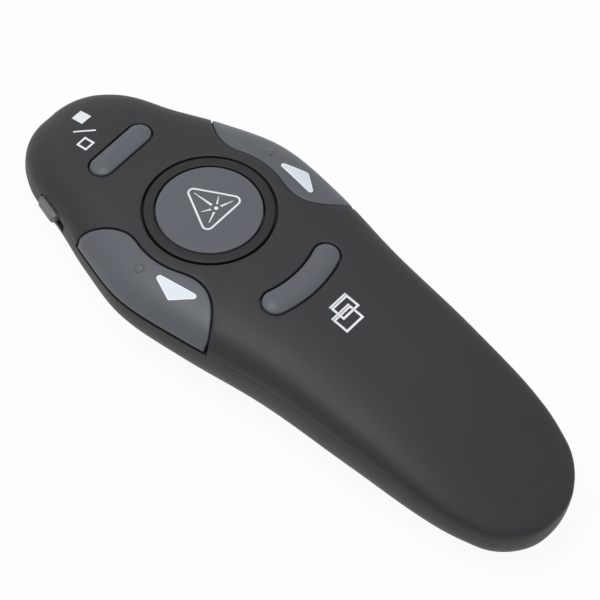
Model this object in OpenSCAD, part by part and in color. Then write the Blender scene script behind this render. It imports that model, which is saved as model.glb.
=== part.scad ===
// Wireless presentation clicker: a palm-sized teardrop housing with five keys on
// top, a power slider on the parting line, a laser in the nose, two AAA cells
// behind a hinged belly door and a USB receiver docked in the belly.
// Frame: +Z up, +Y towards the nose, +X to the holder's right, millimetres.
// The origin is under the middle of the housing, on the surface it lies on.

/* [Housing outline] */
// Overall length from nose to tail
body_length = 128; // [124:1:134]
// Full width just behind the nose tip
tip_width = 28.6; // [26:0.2:31]
// Full width of the nose
nose_width = 31.3; // [29:0.1:34]
// Full width where the nose flares out
flare_width = 40.2; // [38:0.2:42]
// Full width across the side keys
shoulder_width = 46.6; // [45:0.2:49]
// Full width behind the side keys
palm_width = 44.6; // [43:0.2:47]
// Full width at the grip
grip_width = 38.5; // [37:0.5:41]
// Full width over the batteries
rear_width = 35.3; // [34:0.1:38]
// Full width at the tail
tail_width = 30.9; // [30:0.1:33]
// Full width of the tail end before it is rounded off
end_width = 21.2; // [19:0.2:24]
// Length over which the nose is rounded in plan
nose_round = 15.9; // [13:0.1:18]
// Length over which the tail is rounded in plan
tail_round = 8.7; // [7:0.1:12]

/* [Housing heights] */
// Height of the parting line at mid length
seam_mid = 15.4; // [15:0.1:16.4]
// Height of the parting line at the nose
seam_nose = 6.7; // [6.3:0.1:7.2]
// Height of the parting line at the tail
seam_tail = 10.6; // [10.3:0.1:11.4]
// Crown above the parting line over the nose
nose_crown = 7.1; // [6.8:0.1:8]
// Crown above the parting line at the front key
brow_crown = 7.1; // [6.8:0.1:8]
// Crown above the parting line at the laser key
ring_crown = 7.4; // [7:0.1:8.4]
// Crown above the parting line behind the rear key
back_crown = 6.8; // [6.4:0.1:7.8]
// Crown above the parting line over the batteries
rear_crown = 5.3; // [5:0.1:6.3]
// Crown above the parting line at the tail
tail_crown = 2.3; // [2.2:0.1:3]
// How far the belly rises at the nose
nose_rise = 1.6; // [0.8:0.1:2]
// How far the belly rises at the tail
tail_rise = 0.8; // [0.4:0.1:1]
// Depth cut off the belly to leave a flat land to rest on
belly_flat = 0.5; // [0.3:0.1:0.8]

/* [Mouldings] */
// Wall of both shells
wall = 1.6; // [1.4:0.1:1.8]
// Gap of the parting line
seam_gap = 0.12; // [0.08:0.02:0.3]
// Height of the locating lip inside the parting line
lip_height = 1; // [0.6:0.1:1.2]
// Gap round each key
key_gap = 0.35; // [0.25:0.05:0.5]
// Gap round the trim ring, the wide dark groove
ring_gap = 0.5; // [0.4:0.05:0.7]
// Clearance between parts that only have to pass
fit_gap = 0.3; // [0.2:0.05:0.35]

/* [Keys] */
// Distance of the laser key's centre behind the nose tip
ring_back = 41.1; // [40:0.1:42]
// Radius of the laser key
laser_key_r = 10.1; // [9.5:0.1:10.5]
// Width of the trim ring round the laser key
ring_band = 1.9; // [1.6:0.1:2.3]
// Distance of the front key's centre behind the nose tip
front_key_back = 18.7; // [18:0.1:19.5]
// Distance between the centres of the front key's round ends
front_key_span = 10.3; // [9:0.1:11]
// Width of the front key
front_key_w = 4.7; // [4.2:0.1:5]
// Distance from the trim ring's centre to the middle of the rear key
rear_key_reach = 23.9; // [23.5:0.1:24.2]
// Width of the rear key
rear_key_w = 5.1; // [4.6:0.1:5.4]
// Angle between the centres of the rear key's round ends
rear_key_sweep = 35; // [30:1:38]
// How far the narrow keys stand proud of the housing
key_proud = 0.8; // [0.5:0.1:1.1]
// Travel of every key
key_travel = 0.4; // [0.25:0.05:0.4]
// Width of the land between the trim ring and a side key
wing_land = 2.45; // [2:0.05:2.8]
// Distance of a side key's front corner ahead of the laser key's centre
wing_front = 15.9; // [15.2:0.1:16.6]
// Distance of a side key's rear corner behind the laser key's centre
wing_rear = 18.8; // [18:0.1:19.4]
// Gap between a side key and the lower shell
wing_drop_gap = 0.65; // [0.6:0.05:0.8]
// Diameter of the raised dot on a side key
dot_d = 2; // [1.6:0.1:2.4]

/* [Board and switches] */
// Height of the board's upper face
board_z = 11.5; // [11.3:0.1:11.7]
// Thickness of the board
board_t = 1; // [0.8:0.1:1.2]
// Side of a key switch
switch_side = 6; // [5.6:0.1:6.2]
// Height of a key switch
switch_h = 2; // [1.8:0.1:2.2]
// Radius of a switch plunger
plunger_r = 1.6; // [1.4:0.1:1.75]
// Height of a plunger above its switch
plunger_up = 0.8; // [0.6:0.1:1]

/* [Laser] */
// Radius of the laser barrel
barrel_r = 3; // [2.6:0.1:3.2]
// Length of the laser barrel
barrel_l = 13; // [11:0.5:14]
// Radius of the laser's exit hole
exit_r = 1.6; // [1.2:0.1:1.9]

/* [Power slider] */
// Distance of the slider's middle behind the nose tip
slider_back = 15; // [14.5:0.1:15.5]
// Length of the slider's grip
slider_l = 5.5; // [5:0.1:6]
// Height of the slider's grip
slider_h = 2.2; // [1.8:0.1:2.4]
// How far the grip stands out of the housing
slider_proud = 1.1; // [0.8:0.1:1.3]
// Travel of the slider
slider_travel = 2.4; // [2:0.1:2.6]

/* [Batteries] */
// Diameter of a cell
cell_d = 10.5; // [10.3:0.1:10.6]
// Length of a cell over its button
cell_l = 44.5; // [44:0.1:44.8]
// Distance of the battery bay's front wall behind mid length
bay_y = 6.3; // [6:0.1:6.8]
// Height of the cells' centres
cell_z = 7.5; // [7.4:0.05:7.7]
// Width of the battery door
door_w = 23; // [22.4:0.2:24]
// Thickness of the battery door
door_t = 1.3; // [1.2:0.05:1.4]

/* [Receiver] */
// Distance of the receiver's middle behind the laser key's centre
dock_back = 6.9; // [6:0.1:7.4]
// Width of the receiver's cap
cap_w = 14.6; // [14:0.1:15]
// Thickness of the receiver's cap
cap_h = 6; // [5.6:0.1:6.2]
// Length of the receiver's cap
cap_l = 6.6; // [6:0.1:8]
// Width of the plug's metal shell
plug_w = 12; // [11.8:0.1:12.2]
// Thickness of the plug's metal shell
plug_h = 4.5; // [4.3:0.1:4.7]
// Length of the plug's metal shell
plug_l = 12; // [11:0.1:13]

/* [Screws] */
// Radius of a housing screw's head
screw_head_r = 1.9; // [1.6:0.1:2]
// Radius of a screw's shank
screw_r = 0.95; // [0.9:0.05:1]
// Outer radius of a screw boss
boss_r = 2.2; // [2.1:0.1:2.3]

/* [Hidden] */

$fn = 48;
half_l = body_length / 2;
ring_y = half_l - ring_back;
front_key_y = half_l - front_key_back;
wing_front_y = ring_y + wing_front;
wing_rear_y = ring_y - wing_rear;
slider_y = half_l - slider_back;
dock_y = ring_y - dock_back;
// Stations as shares of the length, from the nose
plan = [
    [0.047, tip_width / 2], [0.125, nose_width / 2], [0.219, flare_width / 2],
    [0.3125, shoulder_width / 2], [0.422, palm_width / 2], [0.5625, grip_width / 2],
    [0.719, rear_width / 2], [0.875, tail_width / 2], [0.984, end_width / 2]
];
crown = [
    [0.031, nose_crown], [0.172, brow_crown], [0.359, ring_crown],
    [0.531, back_crown], [0.75, rear_crown], [0.953, tail_crown]
];
// Section roundness: share of the length, power across, power up
section = [[0.06, 2.9, 3.2], [0.24, 4, 2.8], [0.47, 4, 2.8], [0.92, 2.9, 2.9]];
belly_power = 2.6;
end_power = 2.23;

stations = 34;
arc_steps = 20;
inner_steps = 12;

ring_r = laser_key_r + key_gap + ring_band;
ring_hole_r = ring_r + ring_gap;
board_under_z = board_z - board_t;
plunger_top_z = board_z + switch_h + plunger_up;
front_key_tilt = atan(slope_at(front_key_y));
// How far a key's flange reaches under the shell, past the gap round the key
flange_reach = 0.5;
flange_t = 0.8;
ring_flange_t0 = wall + 0.1;
ring_flange_t1 = ring_flange_t0 + flange_t;
// Plan of a side key: the arc that follows the trim ring, to either side of
// level, and the handles of the curves that run from it to the parting line
wing_wrap = 20;
wing_in_r = ring_hole_r + wing_land;
wing_lobe_front = [4.2, 4.5];
wing_lobe_rear = [6.5, 8];
wing_exit_front = [0.8, 0.6];
wing_exit_rear = [0.87, -0.5];
laser_z = seam_nose + 0.4;
barrel_front_y = half_l - 4;
barrel_back_y = barrel_front_y - barrel_l;
lens_r = 2.1;
// Slider's frame, turned to lie along the side, and its plate behind the wall,
// which covers the slot at both ends of the travel
slider_turn = atan((half_w(slider_y + 3) - half_w(slider_y - 3)) / 6);
slider_plate_x = wall + 1.1;
slider_plate_t = 0.7;
slider_plate_l = slider_l + 2 * slider_travel + 1;
lever_l = 3;
pilot_r = screw_r + 0.04;
cell_x = cell_d / 2 + 0.15;
spring_l = 2.9;
plate_t = 0.35;
bay_wall = 1.2;
cell_front_y = -bay_y - plate_t;
cell_back_y = cell_front_y - cell_l;
bay_back_y = cell_back_y - spring_l - plate_t;
door_gap = 0.25;
door_inset = 0.1;
door_front_y = cell_front_y - 0.6;
door_back_y = bay_back_y + 1.2;
knuckle_w = 9;
tab_w = 4;
tab_l = 0.9;
tab_t = 0.9;
latch_w = 7;
latch_l = 6;
dock_l = cap_l + plug_l + 2 * fit_gap;
dock_back_y = dock_y - dock_l / 2;
dock_front_y = dock_y + dock_l / 2;
dock_z = 0.5;
dock_top_z = dock_z + cap_h + fit_gap;
cap_mid_z = dock_z + cap_h / 2;
cap_back_y = dock_front_y - fit_gap - cap_l;
plug_back_y = cap_back_y - plug_l;
dock_wall = 1;
contact_w = 8;
contact_h = 5.4;
// Housing screw places, board screw places
case_screw_at = [
    for (side = [1, -1]) [side * 10.5, ring_y + 15.6],
    for (side = [1, -1]) [side * 11.6, ring_y - 16.3],
    [0, 5.4 - half_l]
];
board_screw_at = [[0, ring_y + 15.7], for (side = [1, -1]) [side * 13.4, ring_y - 24.2]];
boss_top_z = 7.6;
screw_seat_z = 4.2;
screw_head_h = 1.2;
screw_l = 7.5;
board_screw_l = 5;
post_r = boss_r + 0.3;
wing_spot = [ring_hole_r + 3.75, ring_y - 5.9];
dot_spot = [ring_hole_r + 5.45, ring_y + 1.1];
// Key switch places: laser, left, right, front, rear
switch_at = [
    [0, ring_y], [-wing_spot[0], wing_spot[1]], wing_spot,
    [0, front_key_y - 0.6], [0, ring_y - rear_key_reach + 0.2]
];
stem_r = 1.8;
// Board's rear edge, clear of the bay's front wall
board_back_y = max(switch_at[4][1] - switch_side / 2 - 0.4, bay_wall + 0.9 - bay_y);
board_front_y = half_l - 11;
bay_top_z = board_z - 0.1;

// ---------- curves ----------
function clamp01(v) = min(1, max(0, v));
function lerp(a, b, t) = a + (b - a) * t;
function sgn_pow(v, p) = (v < 0 ? -1 : 1) * pow(abs(v), p);
function span_of(p, s, i = 0) = i >= len(p) - 2 || s < p[i + 1][0] ? i : span_of(p, s, i + 1);
function slope_of(p, i) =
    let (a = max(i - 1, 0), b = min(i + 1, len(p) - 1))
    (p[b][1] - p[a][1]) / (p[b][0] - p[a][0]);
// Smooth curve through the points of p, level with its ends outside them
function curve(p, s) =
    let (i = span_of(p, s), h = p[i + 1][0] - p[i][0], t = clamp01((s - p[i][0]) / h))
    (2 * t * t * t - 3 * t * t + 1) * p[i][1]
    + (t * t * t - 2 * t * t + t) * h * slope_of(p, i)
    + (3 * t * t - 2 * t * t * t) * p[i + 1][1]
    + (t * t * t - t * t) * h * slope_of(p, i + 1);
function column(p, k) = [for (row = p) [row[0], row[k]]];
function bezier(p, t) =
    pow(1 - t, 3) * p[0] + 3 * pow(1 - t, 2) * t * p[1] + 3 * (1 - t) * t * t * p[2] + pow(t, 3) * p[3];

// ---------- housing form ----------
// Share left by the rounded nose and tail at share s of the length
function end_cap(s) =
    let (u = clamp01(1 - s * body_length / nose_round), v = clamp01(1 - (1 - s) * body_length / tail_round))
    pow(max(0, 1 - pow(u, end_power)), 1 / end_power) * pow(max(0, 1 - pow(v, end_power)), 1 / end_power);
function share_of(y) = 0.5 - y / body_length;
function seam_z(y) =
    let (t = y / half_l)
    seam_mid + (seam_nose - seam_tail) / 2 * t + ((seam_nose + seam_tail) / 2 - seam_mid) * t * t;
function belly_z(y) =
    let (t = y / half_l)
    (t > 0 ? nose_rise : tail_rise) * pow(abs(t), 4);
function power_x(s) = curve(column(section, 1), s);
function power_z(s) = curve(column(section, 2), s);
// Point of the upper skin, t inside the outer face, at share s and angle a
function top_pt(t, s, a) =
    let (k = end_cap(s), y = (0.5 - s) * (body_length - 2 * t))
    [(curve(plan, s) - t) * k * sgn_pow(cos(a), 2 / power_x(s)), y,
     seam_z(y) + seam_gap / 2 + (curve(crown, s) - t) * pow(k, 0.8) * pow(abs(sin(a)), 2 / power_z(s))];
// Point of the lower skin, in the same way, cut flat to rest on
function belly_pt(t, s, a) =
    let (k = end_cap(s), y = (0.5 - s) * (body_length - 2 * t), z0 = seam_z(y) - seam_gap / 2,
         deep = (z0 - belly_z(y) + belly_flat - t) * pow(k, 0.6))
    [(curve(plan, s) - t) * k * sgn_pow(cos(a), 2 / belly_power), y,
     max(t, z0 - deep * pow(abs(sin(a)), 2 / belly_power))];
function half_w(y) = let (s = share_of(y)) curve(plan, s) * end_cap(s);
// Height of the upper skin, t inside the outer face, over the point x, y
function roof_z(x, y, t = 0) =
    let (s = share_of(y), k = end_cap(s), u = min(0.999, abs(x) / ((curve(plan, s) - t) * k)))
    seam_z(y) + (curve(crown, s) - t) * pow(k, 0.8) * pow(1 - pow(u, power_x(s)), 1 / power_z(s));
function slope_at(y) = (roof_z(0, y + 6) - roof_z(0, y - 6)) / 12;
function station(i, n = stations) = (1 - cos(180 * i / n)) / 2;
// Locating lip at share s, low where the crown is low and under the side keys
function lip_at(s) =
    let (y = (0.5 - s) * body_length, wing_mid = (wing_front_y + wing_rear_y) / 2,
         clear_of = (abs(y - wing_mid) - (wing_front_y - wing_rear_y) / 2 - 1) / 2)
    min(lip_height, 0.35 * (curve(crown, s) - wall)) * pow(end_cap(s), 0.8) * max(0.05, clamp01(clear_of));

// ---------- lofts ----------
// Triangles between rings of k points, where both end rings are poles whose
// points are merged by the list pole
function weld(i, j, k, n, pole) = i * k + (i == 0 || i == n ? pole[j] : j);
function loft_faces(n, k, pole) = [
    for (i = [0 : n - 1], j = [0 : k - 1], half = [0, 1])
        let (j2 = (j + 1) % k,
             a = weld(i, j, k, n, pole), b = weld(i, j2, k, n, pole),
             c = weld(i + 1, j2, k, n, pole), d = weld(i + 1, j, k, n, pole),
             f = half == 0 ? [a, b, c] : [a, c, d])
        if (f[0] != f[1] && f[1] != f[2] && f[2] != f[0]) f
];
// One half of the housing as a wall with a stepped rim: the step stands up from
// the lower half as a lip and is cut out of the upper half to take it
module half_shell(top) {
    m = arc_steps;
    mi = inner_steps;
    side = top ? 1 : -1;
    step_t = wall / 2 + (top ? 0 : seam_gap);
    function rim(s, t, x_side, up) =
        let (y = (0.5 - s) * (body_length - 2 * t))
        [x_side * (curve(plan, s) - t) * end_cap(s), y, seam_z(y) + side * seam_gap / 2 + up];
    function outer(s, a) = top ? top_pt(0, s, a) : belly_pt(0, s, a);
    function inner(s, a) = top ? top_pt(wall, s, a) : belly_pt(wall, s, a);
    rings = [
        for (i = [0 : stations])
            let (s = station(i), up = lip_at(s) + (top ? seam_gap : 0))
            concat(
                [for (j = [0 : m]) outer(s, 180 * j / m)],
                [rim(s, step_t, -1, 0), rim(s, step_t, -1, up), rim(s, wall, -1, up)],
                [for (j = [mi - 1 : -1 : 1]) inner(s, 180 * j / mi)],
                [rim(s, wall, 1, up), rim(s, step_t, 1, up), rim(s, step_t, 1, 0)]
            )
    ];
    k = len(rings[0]);
    // Points that fall together at the nose and the tail: outer face, step, inner face
    pole = [for (j = [0 : k - 1]) j <= m ? 0 : j <= m + 2 || j >= k - 2 ? m + 1 : m + 3];
    closed_loft(rings, stations, k, pole, top);
}
// The solid inside one half, t under its face, closed flat at the parting line
module half_core(top, t) {
    m = arc_steps;
    rings = [
        for (i = [0 : stations])
            [for (j = [0 : m]) top ? top_pt(t, station(i), 180 * j / m) : belly_pt(t, station(i), 180 * j / m)]
    ];
    closed_loft(rings, stations, m + 1, [for (j = [0 : m]) 0], top);
}
module closed_loft(rings, n, k, pole, top) {
    faces = loft_faces(n, k, pole);
    polyhedron(
        [for (r = rings) each r],
        [for (f = faces) top ? [f[2], f[1], f[0]] : f],
        convexity = 8
    );
}
// A curved slab of the skin, from t0 to t1 under the face, from y0 forward to y1,
// over the angles from a0(s) to a1; both halves share it
module skin_slab(top, t0, t1, y0, y1, a0, a1, n, m) {
    function at(t, i, j) =
        let (s = lerp(share_of(y1), share_of(y0), i / n), a = lerp(a0(s), a1, j / m))
        top ? top_pt(t, s, a) : belly_pt(t, s, a);
    // Each ring runs along the outer layer and back along the inner one
    rings = [
        for (i = [0 : n])
            concat([for (j = [0 : m]) at(t0, i, j)], [for (j = [m : -1 : 0]) at(t1, i, j)])
    ];
    k = 2 * (m + 1);
    whole = [for (j = [0 : k - 1]) j];
    sides = loft_faces(n, k, whole);
    ends = [
        for (i = [0, n], j = [0 : m - 1], half = [0, 1])
            let (b = i * k, p = b + j, q = b + j + 1, r = b + k - 2 - j, w = b + k - 1 - j,
                 f = half == 0 ? [p, r, q] : [p, w, r])
            i == 0 ? f : [f[2], f[1], f[0]]
    ];
    faces = concat(sides, ends);
    polyhedron(
        [for (r = rings) each r],
        [for (f = faces) top ? [f[2], f[1], f[0]] : f],
        convexity = 6
    );
}

// ---------- plan shapes ----------
module prism(z0, z1) {
    translate([0, 0, z0]) linear_extrude(z1 - z0) children();
}
module disc_at(at, z0, z1, r) {
    translate([at[0], at[1], z0]) cylinder(r = r, h = z1 - z0);
}
module bar_2d(span, w) {
    square([span, w], center = true);
    for (side = [-1, 1]) translate([side * span / 2, 0]) circle(d = w);
}
// Plan of the right side key, grown by the amount grow: a stretch that follows
// the trim ring, with a lobe that runs to the parting line at either end
module wing_2d(grow) {
    out = 9;
    front = [half_w(wing_front_y), wing_front_y];
    rear = [half_w(wing_rear_y), wing_rear_y];
    p = [wing_in_r * cos(wing_wrap), ring_y + wing_in_r * sin(wing_wrap)];
    q = [p[0], 2 * ring_y - p[1]];
    along = [-sin(wing_wrap), cos(wing_wrap)];
    back = [along[0], -along[1]];
    front_lobe = [front, front - wing_lobe_front[1] * wing_exit_front, p + wing_lobe_front[0] * along, p];
    rear_lobe = [q, q + wing_lobe_rear[0] * back, rear - wing_lobe_rear[1] * wing_exit_rear, rear];
    offset(delta = grow) polygon(concat(
        [front + out * wing_exit_front],
        [for (i = [0 : 7]) bezier(front_lobe, i / 8)],
        [for (i = [0 : 8]) let (a = wing_wrap * (1 - i / 4)) [wing_in_r * cos(a), ring_y + wing_in_r * sin(a)]],
        [for (i = [1 : 8]) bezier(rear_lobe, i / 8)],
        [rear + out * wing_exit_rear]
    ));
}
module rear_key_plan(z0, z1, w) {
    half = rear_key_sweep / 2;
    translate([0, ring_y, 0]) {
        rotate([0, 0, 270 - half])
            rotate_extrude(angle = rear_key_sweep)
                translate([rear_key_reach - w / 2, z0]) square([w, z1 - z0]);
        for (side = [-1, 1])
            rotate([0, 0, 270 + side * half]) disc_at([rear_key_reach, 0], z0, z1, w / 2);
    }
}
// Frame of the front key, tilted with the nose
module on_brow() {
    translate([0, front_key_y, roof_z(0, front_key_y)]) rotate([front_key_tilt, 0, 0]) children();
}
// Frame of the power slider: origin on the left face at the parting line,
// +X into the housing, +Y along its side
module at_slider() {
    translate([-half_w(slider_y), slider_y, seam_z(slider_y)]) rotate([0, 0, slider_turn]) children();
}

// ---------- housing ----------
module upper_shell() {
    color("#38383a")
    difference() {
        union() {
            half_shell(true);
            for (at = case_screw_at)
                disc_at(at, boss_top_z + 0.1, roof_z(at[0], at[1], wall) + wall / 2, boss_r);
            for (at = board_screw_at)
                disc_at(at, board_z, roof_z(at[0], at[1], wall) + wall / 2, boss_r - 0.3);
        }
        for (at = case_screw_at)
            disc_at(at, 0, min(boss_top_z + screw_l - 2, roof_z(at[0], at[1], wall) - 0.2), pilot_r);
        for (at = board_screw_at)
            disc_at(at, 0, board_z + board_screw_l - board_t, pilot_r);
        disc_at([0, ring_y], board_z + 3, seam_mid + 20, ring_hole_r);
        prism(board_z + 2, seam_mid + 20)
            translate([0, front_key_y]) bar_2d(front_key_span, front_key_w + 2 * key_gap);
        rear_key_plan(seam_mid, seam_mid + 20, rear_key_w + 2 * key_gap);
        for (side = [0, 1]) mirror([side, 0, 0]) prism(0, seam_mid + 20) wing_2d(key_gap / 2);
        exit_hole();
        slider_slot();
    }
}
module exit_hole() {
    translate([0, half_l - 3.8, laser_z]) rotate([-90, 0, 0]) cylinder(r = barrel_r + 0.15, h = 10);
}
// Slot of the power slider, which runs back from the place it is seen in
module slider_slot() {
    at_slider()
        translate([-3, -slider_l / 2 - slider_travel - fit_gap, -slider_h / 2 - fit_gap])
            cube([3 + slider_plate_x, slider_l + slider_travel + 2 * fit_gap, slider_h + 2 * fit_gap]);
}
module lower_shell() {
    color("#333335")
    difference() {
        union() {
            half_shell(false);
            intersection() {
                half_core(false, wall / 2);
                union() {
                    // Bay's end walls
                    for (y = [cell_front_y + plate_t, bay_back_y - bay_wall])
                        translate([-shoulder_width / 2, y, 0]) cube([shoulder_width, bay_wall, bay_top_z]);
                    // Dock's walls
                    translate([-cap_w / 2 - fit_gap - dock_wall, dock_back_y - dock_wall, 0])
                        cube([cap_w + 2 * (fit_gap + dock_wall), dock_l + 2 * dock_wall, dock_top_z + dock_wall]);
                    // Posts of the housing screws
                    for (at = case_screw_at) disc_at(at, 0, boss_top_z, post_r);
                    // Cradle of the laser barrel
                    for (y = [half_l - 15, half_l - 6])
                        translate([-barrel_r - 1.2, y - 0.8, 0]) cube([2 * barrel_r + 2.4, 1.6, laser_z]);
                }
            }
        }
        // Door opening and the thumb scoop in front of it
        translate([-door_w / 2 - door_gap, door_back_y - door_gap, -1])
            cube([door_w + 2 * door_gap, door_front_y - door_back_y + 2 * door_gap, cell_z]);
        translate([0, door_front_y + 1.5, -7.1]) sphere(r = 8);
        // Receiver dock and the finger scoop in front of it
        translate([-cap_w / 2 - fit_gap, dock_back_y, -1])
            cube([cap_w + 2 * fit_gap, dock_l, dock_top_z + 1]);
        translate([0, dock_front_y + 0.5, -7.1]) sphere(r = 8);
        // Housing screws, from below
        for (at = case_screw_at) {
            disc_at(at, -1, screw_seat_z, screw_head_r + 0.25);
            disc_at(at, 0, boss_top_z + 1, screw_r + 0.15);
        }
        translate([0, half_l - 17, laser_z]) rotate([-90, 0, 0]) cylinder(r = barrel_r + 0.05, h = 14.6);
        exit_hole();
        slider_slot();
    }
}
// Disc of radius r under the laser key's centre, cut from the skin between the
// depths t0 and t1, so that it follows the housing
module skin_disc(r, t0, t1) {
    intersection() {
        disc_at([0, ring_y], board_z + switch_h, seam_mid + 20, r);
        skin_slab(true, t0, t1, ring_y - ring_hole_r - 3, ring_y + ring_hole_r + 3,
            function(s) 28, 152, 10, 16);
    }
}
module ring_bezel() {
    color("#3a3a3c")
    difference() {
        union() {
            skin_disc(ring_r, 0, ring_flange_t1);
            skin_disc(ring_hole_r + flange_reach + 0.2, ring_flange_t0, ring_flange_t1);
        }
        disc_at([0, ring_y], 0, seam_mid + 30, laser_key_r + key_gap);
    }
}

// ---------- keys ----------
module key_stem(i, top) {
    disc_at(switch_at[i], plunger_top_z, top, stem_r);
}
module laser_button() {
    hold_t = ring_flange_t1 + 0.1;
    color("#66696f")
    union() {
        skin_disc(laser_key_r, 0, hold_t + flange_t);
        skin_disc(laser_key_r + key_gap + flange_reach, hold_t, hold_t + flange_t);
        key_stem(0, roof_z(0, ring_y, hold_t + flange_t / 2));
    }
}
// Right side key: a piece of the skin with a stem, a retaining flange and a dot
module wing_key() {
    at = wing_spot;
    dot_r = 1.6;
    dot_up = 0.35;
    drop = wing_drop_gap - seam_gap / 2;
    start = function(s) asin(pow(drop / curve(crown, s), power_z(s) / 2));
    hold = function(s) 16;
    union() {
        intersection() {
            skin_slab(true, 0, wall + 0.4, wing_rear_y - 3, wing_front_y + 3, start, 78, 14, 14);
            prism(0, seam_mid + 20) wing_2d(-key_gap / 2);
        }
        // Flange that holds the key under the edge of the shell
        intersection() {
            skin_slab(true, wall + 0.25, wall + 0.25 + flange_t, wing_rear_y - 3, wing_front_y + 3,
                hold, 78, 12, 10);
            prism(0, seam_mid + 20) wing_2d(key_gap / 2 + flange_reach);
        }
        disc_at(at, plunger_top_z, roof_z(at[0], at[1], wall) + 0.7, stem_r);
        intersection() {
            translate([dot_spot[0], dot_spot[1], roof_z(dot_spot[0], dot_spot[1]) + dot_up - dot_r])
                sphere(r = dot_r);
            disc_at(dot_spot, roof_z(dot_spot[0], dot_spot[1]) - 1, seam_mid + 20, dot_d / 2);
        }
    }
}
module next_button() {
    color("#66696f") wing_key();
}
module previous_button() {
    color("#66696f") mirror([1, 0, 0]) wing_key();
}
// Crowned top of a narrow key: width w, crown as proud as key_proud over its ends
function crown_r(w) = (w * w / 4 + key_proud * key_proud) / (2 * key_proud);
module blank_screen_button() {
    r = crown_r(front_key_w);
    top = roof_z(0, front_key_y);
    color("#66696f")
    union() {
        intersection() {
            prism(top - wall - 1.4, top + 4)
                translate([0, front_key_y]) bar_2d(front_key_span, front_key_w);
            on_brow() {
                translate([-front_key_span / 2, 0, key_proud - r]) {
                    rotate([0, 90, 0]) cylinder(r = r, h = front_key_span);
                    sphere(r = r);
                    translate([front_key_span, 0, 0]) sphere(r = r);
                }
                translate([-12, -6, -8]) cube([24, 12, 8 - key_proud / 2]);
            }
        }
        on_brow() prism(-wall - 0.6 - flange_t, -wall - 0.6)
            bar_2d(front_key_span, front_key_w + 2 * (key_gap + flange_reach));
        key_stem(3, top - wall - 0.8);
    }
}
module window_button() {
    w = rear_key_w;
    r = crown_r(w);
    half = rear_key_sweep / 2;
    top = roof_z(0, ring_y - rear_key_reach);
    low = top - wall - 1.4;
    color("#66696f")
    union() {
        translate([0, ring_y, 0]) {
            rotate([0, 0, 270 - half])
                rotate_extrude(angle = rear_key_sweep)
                    translate([rear_key_reach, 0]) key_section(w, r, top, low);
            for (side = [-1, 1])
                rotate([0, 0, 270 + side * half])
                    translate([rear_key_reach, 0, 0])
                        rotate_extrude() intersection() {
                            key_section(w, r, top, low);
                            square([w, seam_mid + 20]);
                        }
        }
        rear_key_plan(low, low + flange_t, w + 2 * (key_gap + flange_reach));
        key_stem(4, low + 0.2);
    }
}
module key_section(w, r, top, low) {
    intersection() {
        translate([-w / 2, low]) square([w, top + key_proud - low]);
        union() {
            translate([0, top + key_proud - r]) circle(r = r);
            translate([-w / 2, low]) square([w, top - key_proud / 2 - low]);
        }
    }
}
module plunger(i) {
    disc_at(switch_at[i], board_z + switch_h - key_travel - 0.5, plunger_top_z, plunger_r);
}
module laser_plunger() {
    color("#202020") plunger(0);
}
module previous_plunger() {
    color("#202020") plunger(1);
}
module next_plunger() {
    color("#202020") plunger(2);
}
module blank_screen_plunger() {
    color("#202020") plunger(3);
}
module window_plunger() {
    color("#202020") plunger(4);
}

// ---------- board ----------
module key_switches() {
    pocket_z = board_z + switch_h - 2 * key_travel - 0.6;
    color("#b9bcc0")
    for (at = switch_at)
        difference() {
            translate([at[0] - switch_side / 2, at[1] - switch_side / 2, board_z])
                cube([switch_side, switch_side, switch_h]);
            disc_at(at, pocket_z, board_z + switch_h + 1, plunger_r + 0.1);
        }
}
module main_board() {
    edge = wall + 1.6;
    n = 12;
    side = [for (i = [0 : n]) let (y = lerp(board_back_y, board_front_y, i / n)) [half_w(y) - edge, y]];
    notch = [slider_plate_x + slider_plate_t + fit_gap, slider_plate_l + slider_travel + 2 * fit_gap];
    color("#1f6b3c")
    difference() {
        prism(board_under_z, board_z)
            polygon(concat(side, [for (i = [n : -1 : 0]) [-side[i][0], side[i][1]]]));
        for (at = case_screw_at) disc_at(at, 0, 40, boss_r + fit_gap);
        for (at = board_screw_at) disc_at(at, 0, 40, screw_r + 0.15);
        // Notch that the slider's plate runs in
        at_slider()
            translate([0, -slider_plate_l / 2 - slider_travel - fit_gap, -board_z]) cube([notch[0], notch[1], 40]);
    }
}
module radio_chip() {
    color("#1b1b1d") translate([-2.5, ring_y - 15.4, board_under_z - 0.9]) cube([5, 5, 0.9]);
}
module crystal_can() {
    color("#c9ccd0")
    translate([6.4, ring_y + 5.7, 0]) prism(board_under_z - 1.9, board_under_z) bar_2d(5, 3.2);
}
module chip_parts() {
    part = [1.6, 0.8, 0.6];
    color("#8a6f52")
    for (i = [0 : 3], j = [0, 1])
        translate([-7 + 3.2 * i, ring_y + 8.1 + 2.4 * j, board_under_z - part[2]]) cube(part);
}
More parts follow.
